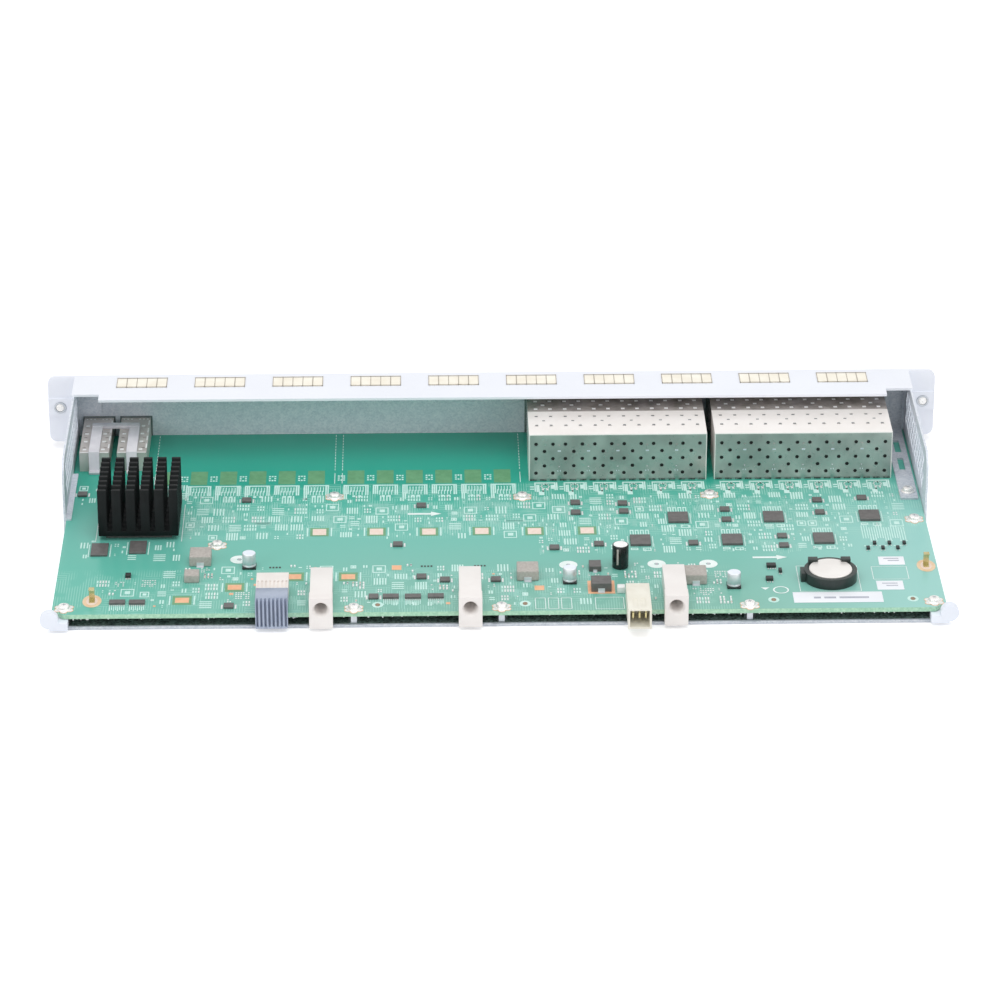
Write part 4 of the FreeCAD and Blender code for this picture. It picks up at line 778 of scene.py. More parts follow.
def board_screws():
    """Domed screws on a broad flange, each over a pad of six lobes rimmed with bare copper."""
    head_height, lobe_count, lobe_reach = 2.34, 6, 3.1
    head = lathe("domed_head", [(0, 0), (3.3, 0), (3.4, 0.25), (3.2, 0.55), (2.6, 0.75), (2.6, 1.5),
                                (2.3, 2.0), (1.5, 2.28), (0, head_height)], segments=24)
    spots, grounds, lobes = [], [], []
    for number, (low, high) in enumerate(islands("board_screws")):
        centre = (low + high) / 2
        spots.append((centre.x, centre.y, high.z - head_height, number * 0.7, 0))
        grounds.append((centre.x, centre.y, BOARD_TOP, 0, 0))
        for lobe in range(lobe_count):
            angle = math.tau * (lobe + 0.5) / lobe_count
            lobes.append((centre.x + lobe_reach * math.cos(angle),
                          centre.y + lobe_reach * math.sin(angle), BOARD_TOP, angle, 0))
    heads = stand_copies("board_screw_heads", head, spots, "nickel")
    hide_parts("board_screws")
    stand_copies("screw_lobe_rims", puck("lobe_rim", 1.75, 0.1, 16), lobes, "copper")
    stand_copies("screw_lobe_lands", puck("lobe_land", 1.45, 0.14, 16), lobes, "tinned")
    stand_copies("screw_lands", puck("ring", 3.3, 0.12, 24), grounds, "tinned")
    recess = joined("recess", [block("recess_x", (-0.9, -0.2, 2.2), (0.9, 0.2, 2.38)),
                               block("recess_y", (-0.2, -0.9, 2.2), (0.2, 0.9, 2.38))])
    stand_copies("board_screw_recesses", recess, spots, "zinc")


def capacitors():
    """Aluminium cans with pale crowns on black bases, and the tall one in its black sleeve."""
    cans, bases, crowns = [], [], []
    half_base = 3.25
    for number, (low, high) in enumerate(islands("can_capacitors")):
        centre = (low + high) / 2
        seat = (centre.x, centre.y, BOARD_TOP)
        rise = high.z - BOARD_TOP
        cans.append(lathe(f"can_{number}", [
            (0, 0.9), (3.0, 0.9), (3.15, 1.1), (3.15, 1.7), (3.02, 1.9), (3.15, 2.1), (3.15, rise - 0.4),
            (3.0, rise - 0.1), (0, rise - 0.1)], seat))
        crowns.append(lathe(f"crown_{number}", [(0, rise - 0.1), (2.95, rise - 0.1),
                                                (2.85, rise - 0.02), (0, rise)], seat))
        bases.append(block(f"base_{number}", (centre.x - half_base, centre.y - half_base, BOARD_TOP),
                           (centre.x + half_base, centre.y + half_base, BOARD_TOP + 1.1), 0.4))
    piece = assembled("can_capacitor_cans", cans, "can")
    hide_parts("can_capacitors")
    assembled("can_capacitor_crowns", crowns, "can_top")
    assembled("can_capacitor_bases", bases, "black")
    low, high = box_mm("tall_capacitor")
    centre = (low + high) / 2
    seat = (centre.x, centre.y, BOARD_TOP)
    rise = high.z - BOARD_TOP
    tall = lathe("tall_can", [
        (0, 0.1), (3.3, 0.1), (3.75, 0.35), (3.85, 0.9), (3.7, 1.5), (3.85, 2.1), (3.85, rise - 0.6),
        (3.7, rise - 0.2), (3.4, rise - 0.12), (0, rise - 0.12)], seat)
    piece = object_from("tall_capacitor_sleeve", tall, "sleeve")
    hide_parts("tall_capacitor")
    disc = lathe("tall_crown", [(0, rise - 0.12), (3.3, rise - 0.12), (3.2, rise - 0.02), (0, rise)],
                 seat)
    object_from("tall_capacitor_crown", disc, "crown")
    seam = block("seam", (centre.x + 1.0, centre.y + 3.55, BOARD_TOP + 2.6),
                 (centre.x + 1.9, centre.y + 3.8, BOARD_TOP + rise - 1.2), 0.1)
    object_from("tall_capacitor_stripe", seam, "ferrite")


def coin_cell():
    """The cell with its rolled rim, in its softened holder."""
    low, high = box_mm("coin_cell")
    centre = (low + high) / 2
    cell = lathe("cell", [(0, -3.3), (9.2, -3.3), (9.9, -2.9), (10.0, -2.4), (10.0, -0.45), (9.75, -0.1),
                          (9.2, 0), (8.9, -0.06), (8.6, -0.02), (0, 0.0)],
                 (centre.x, centre.y, high.z), segments=72)
    piece = object_from("coin_cell_can", cell, "cell")
    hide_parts("coin_cell")
    softened("coin_cell_holder", 0.3)


def corner_lugs():
    """Lead-in lugs at the rear corners, round with a softened face."""
    for side in ("left", "right"):
        softened(f"corner_lug_{side}", 0.7, segments=3)


def captive_hardware():
    """Captive screws, washers and ferrules of the ears, turned smooth."""
    for side in ("left", "right"):
        for name, width in (("captive_ferrule", 0.25), ("captive_washer", 0.15), ("captive_screw", 0.3)):
            softened(f"{name}_{side}", width)
        low, high = box_mm(f"captive_screw_{side}")
        centre = (low + high) / 2
        tip = lathe(f"captive_tip_{side}", [(0, 0), (1.3, 0), (1.95, -0.6), (1.95, -0.8), (0, -0.8)],
                    (centre.x, high.y + 0.02, centre.z), axis="Y", segments=32)
        object_from(f"captive_tip_{side}", tip, "nickel", f"captive_screw_{side}")


# ------------------------------------------------------------------------ the busy board

# centres on the board
ROUND_MARKS = ((-74.1, 151.5), (-98.3, 151.8), (121.0, 143.0), (-32.8, 151.7))
BARE_SQUARES = ((84.0, 114.1), (57.0, 114.2), (32.1, 114.6), (7.0, 114.4), (-18.0, 115.0),
                (-43.0, 114.8), (69.8, 162.2), (94.8, 161.7), (122.2, 172.2), (145.9, 185.1))
TEST_LANDS = ((56.0, 191.5), (-11.7, 191.5), (-126.0, 189.8), (-190.1, 189.9))
GROUND_LANDS = ((187.2, 185.3), (-199.8, 155.7))
# small packages: the centre, the width and the number of leads on each side
PACKAGES = ((-127.4, 155.2, 4.4, 4), (-131.2, 160.6, 1.6, 2), (-125.6, 169.0, 3.4, 3),
            (-66.6, 175.6, 3.4, 3), (-83.4, 171.8, 3.0, 3), (172.0, 160.0, 2.6, 3))
# places that the small parts keep clear of: labels, arrows, frames, the ring and triangle, and
# a ground land
KEPT_CLEAR = [((-177.5, 181.5), (-134.0, 194.5)), ((-191.5, 145.0), (-177.0, 155.5)),
              ((-188.5, 170.5), (-173.5, 181.5)), ((24.5, 92.0), (43.5, 98.0)),
              ((-137.0, 142.5), (-118.0, 148.5)), ((-55.0, 167.5), (-39.5, 183.0)),
              ((-58.0, 185.0), (-43.0, 198.0)), ((-34.0, 185.0), (-15.5, 198.0)),
              ((-134.5, 175.5), (-119.5, 184.5)), ((182.0, 178.0), (192.5, 192.5))]
# regions of the board: x from and to, y from and to, and how much of it small parts and lands cover
BUSY = ((-20, 150, 77, 112, 0.92), (-20, 150, 112, 122, 0.25), (-196, -20, 77, 112, 0.95),
        (-166, -20, 112, 137, 0.62), (150, 200, 62, 82, 0.6), (150, 196, 122, 142, 0.3),
        (-104, 154, 152, 192, 0.86), (154, 186, 166, 192, 0.7))
BOARD_NODES = ("board_screws", "heat_sink", "guide_socket_1", "guide_socket_2", "guide_socket_3",
               "signal_connector_cap", "signal_connector_comb", "power_connector_housing",
               "coin_cell_holder", "can_capacitors", "tall_capacitor", "power_inductors",
               "filter_choke", "power_semiconductors", "film_capacitor", "port_chips", "memory_chips",
               "logic_chips", "driver_chips", "ground_springs", "board_bracket", "light_pipe",
               "single_cage_1", "single_cage_2", "cage_stack_1_shell", "cage_stack_2_shell")
# lands behind one port, as x from its column's centre, y, x and y
FITTED_MINT = ((-6.2, 60.5, -5.5, 69.5), (-5.3, 60.5, -4.6, 69.5), (-5.0, 60.6, 4.8, 61.8),
               (4.4, 60.6, 5.0, 71.0), (2.6, 63.5, 3.3, 71.5), (3.4, 63.5, 4.1, 71.5),
               (-4.6, 63.5, -2.9, 68.0), (0.4, 71.0, 3.0, 75.0), (5.2, 65.0, 7.2, 66.2),
               (5.2, 67.6, 7.2, 68.8))
FITTED_WHITE = ((-1.7, 67.6, -0.7, 69.6), (0.5, 67.6, 1.5, 69.6))
FITTED_DARK = ((-0.9, 62.6, -0.2, 64.0), (0.5, 70.0, 1.3, 71.4))
EMPTY_MINT = ((-6.2, 61.6, 5.6, 62.8), (-6.2, 61.6, -5.5, 73.1), (-5.2, 61.6, -4.5, 73.1),
              (3.4, 61.6, 4.1, 72.1), (4.35, 61.6, 5.05, 72.1), (5.3, 61.6, 6.0, 72.1))
EMPTY_MINT_REAR = ((-2.6, 73.5, -1.2, 75.5), (0.2, 73.5, 1.6, 75.5))


def around(places, reach_x, reach_y):
    """A box about each place."""
    return [((x - reach_x, y - reach_y), (x + reach_x, y + reach_y)) for x, y in places]


def taken_cells():
    """The millimetre cells of the board that something already stands on."""
    cells = set()
    spare = 0.7
    for name in BOARD_NODES:
        for low, high in islands(name):
            take_box(cells, (low.x - spare, low.y - spare), (high.x + spare, high.y + spare))
    kept = KEPT_CLEAR + around(ROUND_MARKS, 5, 5) + around(BARE_SQUARES, 6.2, 4.8)
    kept += around(TEST_LANDS, 2.8, 3.2)
    kept += [((x - wide / 2 - 0.5, y - 3.2), (x + wide / 2 + 0.5, y + 3.2)) for x, y, wide, _ in PACKAGES]
    for low, high in kept:
        take_box(cells, low, high)
    return cells


def cells_of(low, high):
    """Every millimetre cell between two corners."""
    return {(across, along) for across in range(math.floor(low[0]), math.ceil(high[0]))
            for along in range(math.floor(low[1]), math.ceil(high[1]))}


def take_box(cells, low, high):
    """Take every millimetre cell between two corners."""
    cells.update(cells_of(low, high))


def busy_share(x, y):
    """How much of the board is covered by small parts and lands near a place."""
    return next((share for left, right, near, far, share in BUSY
                 if left <= x < right and near < y < far), 0.0)


def chip_part_mesh(length):
    """One small part: a body and two end caps, told apart by an attribute."""
    half = length / 2
    mesh = joined("chip_part", [
        block("body", (-half * 0.6, -half * 0.48, 0.05), (half * 0.6, half * 0.48, 0.55)),
        block("cap_a", (-half, -half * 0.5, 0.03), (-half * 0.58, half * 0.5, 0.58)),
        block("cap_b", (half * 0.58, -half * 0.5, 0.03), (half, half * 0.5, 0.58))])
    body_corners = 8
    stored = mesh.attributes.new("end", "FLOAT", "POINT")
    stored.data.foreach_set("value", [0.0 if number < body_corners else 1.0
                                      for number in range(len(mesh.vertices))])
    return mesh


class LINECARD_OT_small_parts(bpy.types.Operator):
    """Footprints of the busy bands: combs, frames, pads and vias, and the parts soldered on them"""

    bl_idname = "linecard.small_parts"
    bl_label = "Small parts"

    def execute(self, context):
        board = context.scene.linecard_board
        dice = random.Random(board.seed)
        cells = taken_cells()
        marks = {"mint": [], "white": [], "dark": [], "peach": []}
        spots, dots = [], []
        port_footprints(marks, dots, dice)
        chip_surrounds(marks, cells)
        for width, length in ((7.0, 9.0), (5.0, 7.0), (3.4, 4.6), (2.2, 3.2)):
            along = 60.0
            while along < 194:
                across = -197.0 + dice.uniform(0, width)
                while across < 200:
                    low, high = (across, along), (across + width, along + length)
                    middle = (across + width / 2, along + length / 2)
                    if dice.random() < busy_share(*middle) and cells.isdisjoint(cells_of(low, high)):
                        footprint(marks, spots, dots, dice, low, width, length)
                        take_box(cells, low, high)
                    across += width * dice.choice((0.5, 1.0, 1.05))
                along += length * 0.5
        printed("mint_footprints", marks["mint"], 0.045, "mint")
        printed("tinned_footprints", marks["white"], 0.06, "tinned")
        printed("dark_footprints", marks["dark"], 0.075, "holder")
        printed("bare_footprints", marks["peach"], 0.06, "copper")
        stand_copies("chip_parts", chip_part_mesh(board.chip_part_length / MM), spots, "chip_part")
        stand_copies("vias", oval("dot", 0, 0, 0.42, 0.55, 0, 8), dots, "tinned")
        return {"FINISHED"}


def comb(x, y, count, pitch, length, width=0.7):
    """A row of upright bars from one corner."""
    return [((x + pitch * k, y), (x + pitch * k + width, y + length)) for k in range(count)]


def outline_boxes(low, high):
    """The four sides of a rectangle as flat bars, the two along X the thicker ones."""
    (x0, y0), (x1, y1) = low, high
    width, tall = 0.5, 0.8
    return [((x0, y0), (x1, y0 + tall)), ((x0, y1 - tall), (x1, y1)), ((x0, y0), (x0 + width, y1)),
            ((x1 - width, y0), (x1, y1))]


def shifted(centre, boxes):
    """Boxes that are given from a column's centre, at their place on the board."""
    return [((centre + x0, y0), (centre + x1, y1)) for x0, y0, x1, y1 in boxes]


def port_footprints(marks, dots, dice):
    """The repeated group of lands behind each port, fitted or empty."""
    fitted, empty = port_columns()
    for centre in fitted:
        marks["mint"] += shifted(centre, FITTED_MINT)
        marks["white"] += shifted(centre, FITTED_WHITE)
        marks["dark"] += shifted(centre, FITTED_DARK)
        for number in range(10):
            angle = math.tau * number / 10
            dots.append((centre + 1.9 * math.cos(angle) - 0.2, 65.2 + 2.6 * math.sin(angle),
                         BOARD_TOP + 0.08, 0, 0))
    for centre in empty:
        marks["mint"] += shifted(centre, EMPTY_MINT)
        for number in range(5):
            x = centre - 3.8 + 1.45 * number
            marks["mint"] += [((x, 64.0), (x + 0.45, 69.5)), ((x + 0.5, 68.0), (x + 0.95, 73.0))]
        marks["mint"] += shifted(centre, EMPTY_MINT_REAR)
        if dice.random() < 0.5:
            marks["mint"] += comb(centre + 4.2, 71.0, 2, 1.0, 7.0)
        for across in range(3):
            for along in range(3):
                if (across, along) != (1, 1):
                    x, y = centre + 5.4 + 1.3 * across, 50.6 + 2.3 * along
                    marks["mint"].append(((x, y), (x + 0.9, y + 1.4)))


def chip_surrounds(marks, cells):
    """Bars beside each chip, hooks and outlines by the large ones, and the leads of the others."""
    for name in ("port_chips", "memory_chips"):
        for low, high in islands(name):
            for x in (low.x - 1.3, high.x + 0.8):
                marks["mint"].append(((x, low.y - 0.5), (x + 0.5, high.y + 0.5)))
            if name == "memory_chips":
                continue
            step = (high.x - low.x) / 4
            for number in range(4):
                x = low.x + step * number + 0.3
                marks["mint"] += [((x, low.y - 7.4), (x + 0.5, low.y - 1.4)),
                                  ((x + 1.3, low.y - 6.8), (x + 1.8, low.y - 1.4)),
                                  ((x, low.y - 7.4), (x + 1.8, low.y - 6.4))]
            take_box(cells, (low.x - 2, low.y - 8), (high.x + 2, low.y))
            marks["mint"] += outline_boxes((low.x, high.y + 1.6), (low.x + 4.0, high.y + 5.0))
            marks["mint"] += outline_boxes((high.x - 3.5, high.y + 1.6), (high.x, high.y + 4.0))
    for low, high in islands("logic_chips"):
        for x in (low.x - 1.25, high.x + 0.45):
            marks["white"].append(((x, low.y + 0.2), (x + 0.8, high.y - 0.2)))
    for low, high in islands("driver_chips"):
        leads = 8
        step = (high.x - low.x) / leads
        for number in range(leads):
            x = low.x + step * (number + 0.5) - 0.25
            marks["white"] += [((x, high.y + 0.1), (x + 0.5, high.y + 1.4)),
                               ((x, low.y - 1.4), (x + 0.5, low.y - 0.1))]
            marks["mint"].append(((x, high.y + 1.4), (x + 0.4, high.y + 5.2 + number % 2)))


def footprint(marks, spots, dots, dice, corner, width, length):
    """One group of lands in a cell of the board, of a kind picked by the dice."""
    x, y = corner
    rear = y > 148
    if rear:
        kind = dice.random()
    else:
        kind = dice.choice((0.1, 0.1, 0.1, 0.3, 0.5, 0.5, 0.9)) + dice.random() * 0.1
    if kind < 0.26:
        pitch = dice.choice((1.2, 1.3, 1.5))
        marks["mint"] += comb(x + 0.2, y + 0.4, int((width - 0.4) / pitch), pitch,
                              length * dice.uniform(0.6, 0.9))
    elif kind < 0.40:
        marks["mint"] += outline_boxes((x + 0.3, y + 0.5), (x + width - 0.4, y + length - 0.8))
        if width > 3:
            marks["mint"].append(((x + width * 0.3, y + length * 0.3),
                                  (x + width * 0.66, y + length * 0.64)))
    elif kind < 0.6:
        pitch = 1.3
        for number in range(int((width - 0.3) / pitch)):
            left = x + 0.3 + pitch * number
            half = length * 0.36
            ink = "white" if dice.random() < (0.45 if rear else 0.2) else "mint"
            marks[ink] += [((left, y + 0.5), (left + 0.7, y + half)),
                           ((left, y + half + 0.9), (left + 0.7, y + 2 * half + 0.4))]
    elif kind < 0.76:
        columns = max(1, int(width / 1.6))
        rows = max(1, int(length / 2.6))
        for across in range(columns):
            for along in range(rows):
                if dice.random() < 0.85:
                    spots.append((x + 0.8 + 1.6 * across, y + 1.3 + 2.6 * along, BOARD_TOP,
                                  math.pi / 2, dice.random()))
    elif kind < 0.86:
        for across in range(int(width / 1.15)):
            for along in range(int(length / 1.9)):
                if dice.random() < 0.8:
                    dots.append((x + 0.6 + 1.15 * across, y + 0.9 + 1.9 * along, BOARD_TOP + 0.05, 0, 0))
    elif kind < 0.93 or not rear:
        for number in range(int(length / 2.0)):
            low = y + 0.4 + 2.0 * number
            marks["mint"].append(((x + 0.3, low), (x + width * 0.85, low + 0.9)))
    elif kind < 0.965:
        marks["peach"].append(((x + 0.4, y + 0.6), (x + width * 0.7, y + length * 0.6)))
    else:
        for number in range(int(width / 1.5)):
            left = x + 0.3 + 1.5 * number
            marks["dark"].append(((left, y + 1.0), (left + 0.9, y + 2.6)))


def port_columns():
    """Centres of the port columns: both stacks, then the two rows of footprints left empty."""
    fitted, empty = [[first + PORT_PITCH * column for first in firsts for column in range(PORTS_IN_A_ROW)]
                     for firsts in ((-95.575, -185.675), (-4.0, 86.5))]
    return fitted, empty


class LINECARD_OT_leads(bpy.types.Operator):
    """Silver tabs of the power parts, and the smallest packages with their leads"""

    bl_idname = "linecard.leads"
    bl_label = "Leads"

    def execute(self, context):
        tabs = []
        for name in ("power_inductors", "power_semiconductors"):
            for low, high in islands(name):
                half = (high.x - low.x) * 0.17
                centre = (low.x + high.x) / 2
                foot = BOARD_TOP + 0.02
                rise = BOARD_TOP + (high.z - low.z) * 0.42
                tabs.append(block("tab", (centre - half, high.y - 0.05, foot),
                                  (centre + half, high.y + 0.3, rise), 0.08))
                tabs.append(block("foot", (centre - half, high.y + 0.2, foot),
                                  (centre + half, high.y + 1.4, BOARD_TOP + 0.3), 0.05))
        assembled("solder_tabs", tabs, "can")
        bodies, legs, bars = [], [], []
        for number in range(6):
            x = -174.5 - 3.5 * number
            y = 137.1 if number % 2 == 0 else 131.9
            bodies.append(block("sot", (x - 0.8, y - 1.3, BOARD_TOP + 0.15),
                                (x + 0.8, y + 1.3, BOARD_TOP + 1.1), 0.1))
            legs += [((x - 1.0, y + 1.3), (x - 0.4, y + 2.2)), ((x + 0.4, y + 1.3), (x + 1.0, y + 2.2)),
                     ((x - 0.3, y - 2.2), (x + 0.3, y - 1.3))]
            bars += comb(x - 1.6, 112.0 + 2.0 * (number % 2), 3, 1.2, 14.0, 0.5)
            bars.append(((x - 2.0, y - 3.4), (x + 1.6, y - 2.6)))
        for x, y, wide, count in PACKAGES:
            left = x - wide / 2
            bodies.append(block("so", (left, y - 1.6, BOARD_TOP + 0.15),
                                (x + wide / 2, y + 1.6, BOARD_TOP + 1.4), 0.12))
            legs += comb(left + 0.1, y + 1.6, count, wide / count, 1.5, 0.55)
            legs += comb(left + 0.1, y - 3.0, count, wide / count, 1.4, 0.55)
        assembled("small_packages", bodies, "black")
        printed("small_leads", legs, 0.09, "tinned")
        printed("package_bars", bars, 0.05, "mint")
        object_from("test_land_rims", ovals("rims", TEST_LANDS, 2.6, 3.0, 0.06, 16), "mint")
        object_from("test_lands", ovals("hearts", TEST_LANDS, 1.2, 1.6, 0.09, 16), "brown_land")
        return {"FINISHED"}


class LINECARD_OT_tracks(bpy.types.Operator):
    """Bundles of raised tracks between the chips"""

    bl_idname = "linecard.tracks"
    bl_label = "Tracks"

    def execute(self, context):
        board = context.scene.linecard_board
        dice = random.Random(board.seed + 1)
        lines = []
        # how many bundles start in each region, and its reach along X and along Y
        for count, across, along in ((220, (-190, 146), (76, 110)), (60, (-165, -20), (110, 134)),
                                     (110, (-100, 150), (152, 190)), (14, (150, 186), (62, 76))):
            for _ in range(count):
                bundle(lines, dice, dice.uniform(*across), dice.uniform(*along))
        object_from("copper_tracks", ribbons("tracks", lines, board.track_width / MM, 0.02), "track")
        return {"FINISHED"}


def bundle(lines, dice, x, y):
    """A few parallel tracks that start together and end unevenly, left out where they overrun."""
    pitch = dice.choice((0.8, 1.0, 1.2))
    count = dice.randint(3, 8)
    length = dice.uniform(4, 12)
    upright = dice.random() < 0.6
    for number in range(count):
        shift = number * pitch
        trim = dice.uniform(0, 2.5)
        if upright:
            start, end = (x + shift, y), (x + shift, y + length - trim)
        else:
            start, end = (x, y + shift), (x + length - trim, y + shift)
        if max(start[0], end[0]) <= 200 and max(start[1], end[1]) <= 197:
            lines.append((start, end))


def frame_lines(low, high):
    """The four sides of a rectangle."""
    a, b = (low[0], low[1]), (high[0], low[1])
    c, d = (high[0], high[1]), (low[0], high[1])
    return [(a, b), (b, c), (c, d), (d, a)]


def dashed(start, end, dash, gap):
    """A dashed line."""
    run = Vector(end) - Vector(start)
    count = int(run.length / (dash + gap))
    step = run.normalized()
    made = []
    for number in range(count):
        first = Vector(start) + step * (dash + gap) * number
        made.append((tuple(first), tuple(first + step * dash)))
    return made


class LINECARD_OT_legend(bpy.types.Operator):
    """Printed legend: lines, frames, arrows and round marks, with no lettering"""

    bl_idname = "linecard.legend"
    bl_label = "Legend"

    def execute(self, context):
        width = context.scene.linecard_board.legend_width / MM
        lines = []
        for x in (77.6, 74.0, -12.6, 165.0):
            lines += dashed((x, 3), (x, 48), 2.2, 1.1)
            lines.append(((x, 48), (x, 60)))
        lines.append(((149.0, 82.5), (149.0, 123.0)))
        lines.append(((189.5, 82.5), (189.5, 123.0)))
        low, high = box_mm("coin_cell_holder")
        lines += frame_lines((low.x - 1, low.y - 1), (high.x + 1, high.y + 1))
        lines += frame_lines((-190.4, 156.4), (-174.0, 169.6))
        lines += frame_lines((-57.0, 186.0), (-44.0, 197.6))
        for x in (-33.0, -27.0, -21.0):
            lines += frame_lines((x, 186.0), (x + 4.6, 197.0))
        object_from("legend_lines", ribbons("legend", lines, width, 0.07), "legend")
        object_from("legend_shapes", legend_shapes(), "legend")
        return {"FINISHED"}


def arrow(tip_x, tail_x, y):
    """A solid arrow along X."""
    sign = 1 if tip_x > tail_x else -1
    neck = tip_x - sign * 5.0
    rise = BOARD_TOP + 0.09
    points = [(tail_x, y - 0.9, rise), (neck, y - 0.9, rise), (neck, y - 2.4, rise), (tip_x, y, rise),
              (neck, y + 2.4, rise), (neck, y + 0.9, rise), (tail_x, y + 0.9, rise)]
    return points[::sign]


def legend_shapes():
    """Two air-flow arrows, a few round marks and a plain ring and triangle."""
    meshes = []
    for number, points in enumerate((arrow(26.0, 42.1, 95.0), arrow(-135.7, -119.4, 145.5))):
        meshes.append(mesh_from(f"arrow_{number}", points, [tuple(range(len(points)))]))
    rise = BOARD_TOP + 0.07
    meshes += [flat_ring("mark", x, y, 1.1, 4.3, rise) for x, y in ROUND_MARKS]
    meshes.append(flat_ring("ring", -130.1, 179.8, 3.0, 3.7, rise))
    meshes.append(mesh_from("triangle", [(-121.0, 177.2, rise), (-124.9, 177.2, rise),
                                         (-122.9, 179.6, rise)], [(0, 2, 1)]))
    merged = joined("legend_shapes", meshes)
    work = bmesh.new()
    work.from_mesh(merged)
    bmesh.ops.reverse_faces(work, faces=[face for face in work.faces if face.normal.z < 0])
    work.to_mesh(merged)
    work.free()
    return merged


class LINECARD_OT_pads(bpy.types.Operator):
    """Large bare pads: the empty cages' contact lands and the peach copper squares"""

    bl_idname = "linecard.pads"
    bl_label = "Pads"

    def execute(self, context):
        _, empty = port_columns()
        lands = [((centre - 4.0, 45.0), (centre + 4.2, 60.2)) for centre in empty]
        printed("contact_lands", lands, 0.03, "ochre")
        rear = [place for place in BARE_SQUARES if place[1] > 150]
        front = [place for place in BARE_SQUARES if place[1] < 150]
        bars = []
        for x, y in BARE_SQUARES:
            bars += [((x - 6.0, y - 4.6), (x - 5.3, y + 4.6)), ((x + 5.3, y - 4.6), (x + 6.0, y + 4.6))]
        printed("square_rims", around(BARE_SQUARES, 4.4, 4.5), 0.05, "ochre")
        printed("square_bars", bars, 0.07, "mint")
        printed("copper_squares", around(rear, 3.2, 2.6), 0.08, "copper")
        printed("pale_squares", around(front, 3.2, 3.3), 0.08, "peach")
        printed("round_mark_dots", around(ROUND_MARKS, 0.7, 1.1), 0.1, "zinc")
        tab = [((-53.5, 168.5), (-41.0, 182.0))]
        printed("transistor_land", tab, 0.06, "copper")
        object_from("ground_lands", ovals("ovals", GROUND_LANDS, 4.4, 6.4, 0.06, 24), "spring_land")
        object_from("ground_land_hearts", ovals("hearts", GROUND_LANDS, 2.6, 4.2, 0.09, 24), "peach")
        return {"FINISHED"}


class LINECARD_OT_cage_details(bpy.types.Operator):
    """Pressed slots of the cages as flat marks (on the stacks pale ones are painted light and dark ones
    painted shade), the springs round the cages at the panel, and the finger windows
    """

    bl_idname = "linecard.cage_details"
    bl_label = "Cage details"

    def execute(self, context):
        light, dark, tabs, feet, collars = [], [], [], [], []
        for stack in (1, 2):
            low, high = box_mm(f"cage_stack_{stack}_shell")
            first = low.x + (high.x - low.x - PORT_PITCH * (PORTS_IN_A_ROW - 1)) / 2
            stack_slots(light, dark, first)
            stack_rear(tabs, feet, first, low.x, high.x)
            collars += collar_boxes(low.x, high.x, BOARD_TOP, STACK_TOP)
        for name in ("single_cage_1", "single_cage_2"):
            low, high = box_mm(name)
            collars += collar_boxes(low.x, high.x, BOARD_TOP, high.z)
            single_cage_slots(light, low, high)
        object_from("cage_slots_light", raised_plates("light", light), "crown")
        object_from("cage_slots_dark", raised_plates("dark", dark), "collar")
        assembled("cage_rear_tabs", tabs, "can_top")
        assembled("cage_rear_feet", feet, "film_black")
        assembled("port_collars", collars, "collar")
        object_from("window_frames", raised_plates("frames", window_frames()), "window_line")
        return {"FINISHED"}


def slot_about(x, y, top, reach_x, reach_y):
    """A flat mark about a place on top of a cage."""
    return (x - reach_x, y - reach_y, top), (x + reach_x, y + reach_y, top)


def stack_slots(light, dark, first):
    """Slots over each column of a stack, as flat marks: pale ones near the panel are painted light, dark
    ones behind them are painted shade in the slots.
    """
    top = STACK_TOP + PRINT_LIFT
    for column in range(PORTS_IN_A_ROW):
        x = first + PORT_PITCH * column
        for shift in (-3.5, 3.5):
            # painted light: pale slot marks near the panel
            light += [slot_about(x + shift, y, top, 0.9, 0.9) for y in (18.7, 27.8)]
            # painted shade: dark slot marks behind them
            dark += [slot_about(x + shift, y, top, 0.7, 0.5) for y in (36.8, 47.0)]
        light.append(slot_about(x, 23.2, top, 0.9, 0.8))
        dark.append(slot_about(x, 41.8, top, 0.7, 0.5))


def stack_rear(tabs, feet, first, left, right):
    """Bent tabs on the rear of a stack, between its columns, and the row of feet along the board."""
    near = 58.3
    for column in range(PORTS_IN_A_ROW - 1):
        x = first + PORT_PITCH * (column + 0.5)
        for z in (14.0, 24.6):
            tabs.append(block("tab", (x - 0.2, near, z - 1.4), (x + 0.2, near + 0.45, z + 1.2), 0.05))
            tabs.append(block("tab", (x - 0.75, near, z - 1.5), (x + 0.75, near + 0.45, z - 0.9), 0.05))
    foot_count = 18
    for number in range(foot_count):
        x = left + 2.2 + (right - left - 4.4) * number / (foot_count - 1)
        feet.append(block("foot", (x - 1.6, 58.0, BOARD_TOP + 0.02), (x + 1.6, 58.72, BOARD_TOP + 0.75)))


def single_cage_slots(light, low, high):
    """Pressed slots and seams on top of a single cage."""
    top = high.z + PRINT_LIFT
    for number in range(4):
        y = 10.6 + 9.2 * number
        light += [slot_about(x, y + 0.95, top, 0.9, 0.95) for x in (low.x + 3.1, high.x - 2.3)]
        light.append(slot_about(low.x + 0.45, y - 3.0, top, 0.3, 2.6))
    for number in range(3):
        inward = 1.4 + 1.9 * number
        light += [slot_about(x, 3.35, top, 0.4, 0.55) for x in (low.x + inward, high.x - inward)]
    light.append(((low.x + 0.3, high.y - 1.1, top), (high.x - 0.3, high.y - 0.3, top)))


def collar_boxes(left, right, low, high):
    """A thin spring collar that fills the gap round a cage where it passes the panel."""
    near, far, reach = 1.05, 1.7, 0.75
    return [block("collar", (left - reach, near, low), (left, far, high + reach)),
            block("collar", (right, near, low), (right + reach, far, high + reach)),
            block("collar", (left, near, high), (right, far, high + reach))]


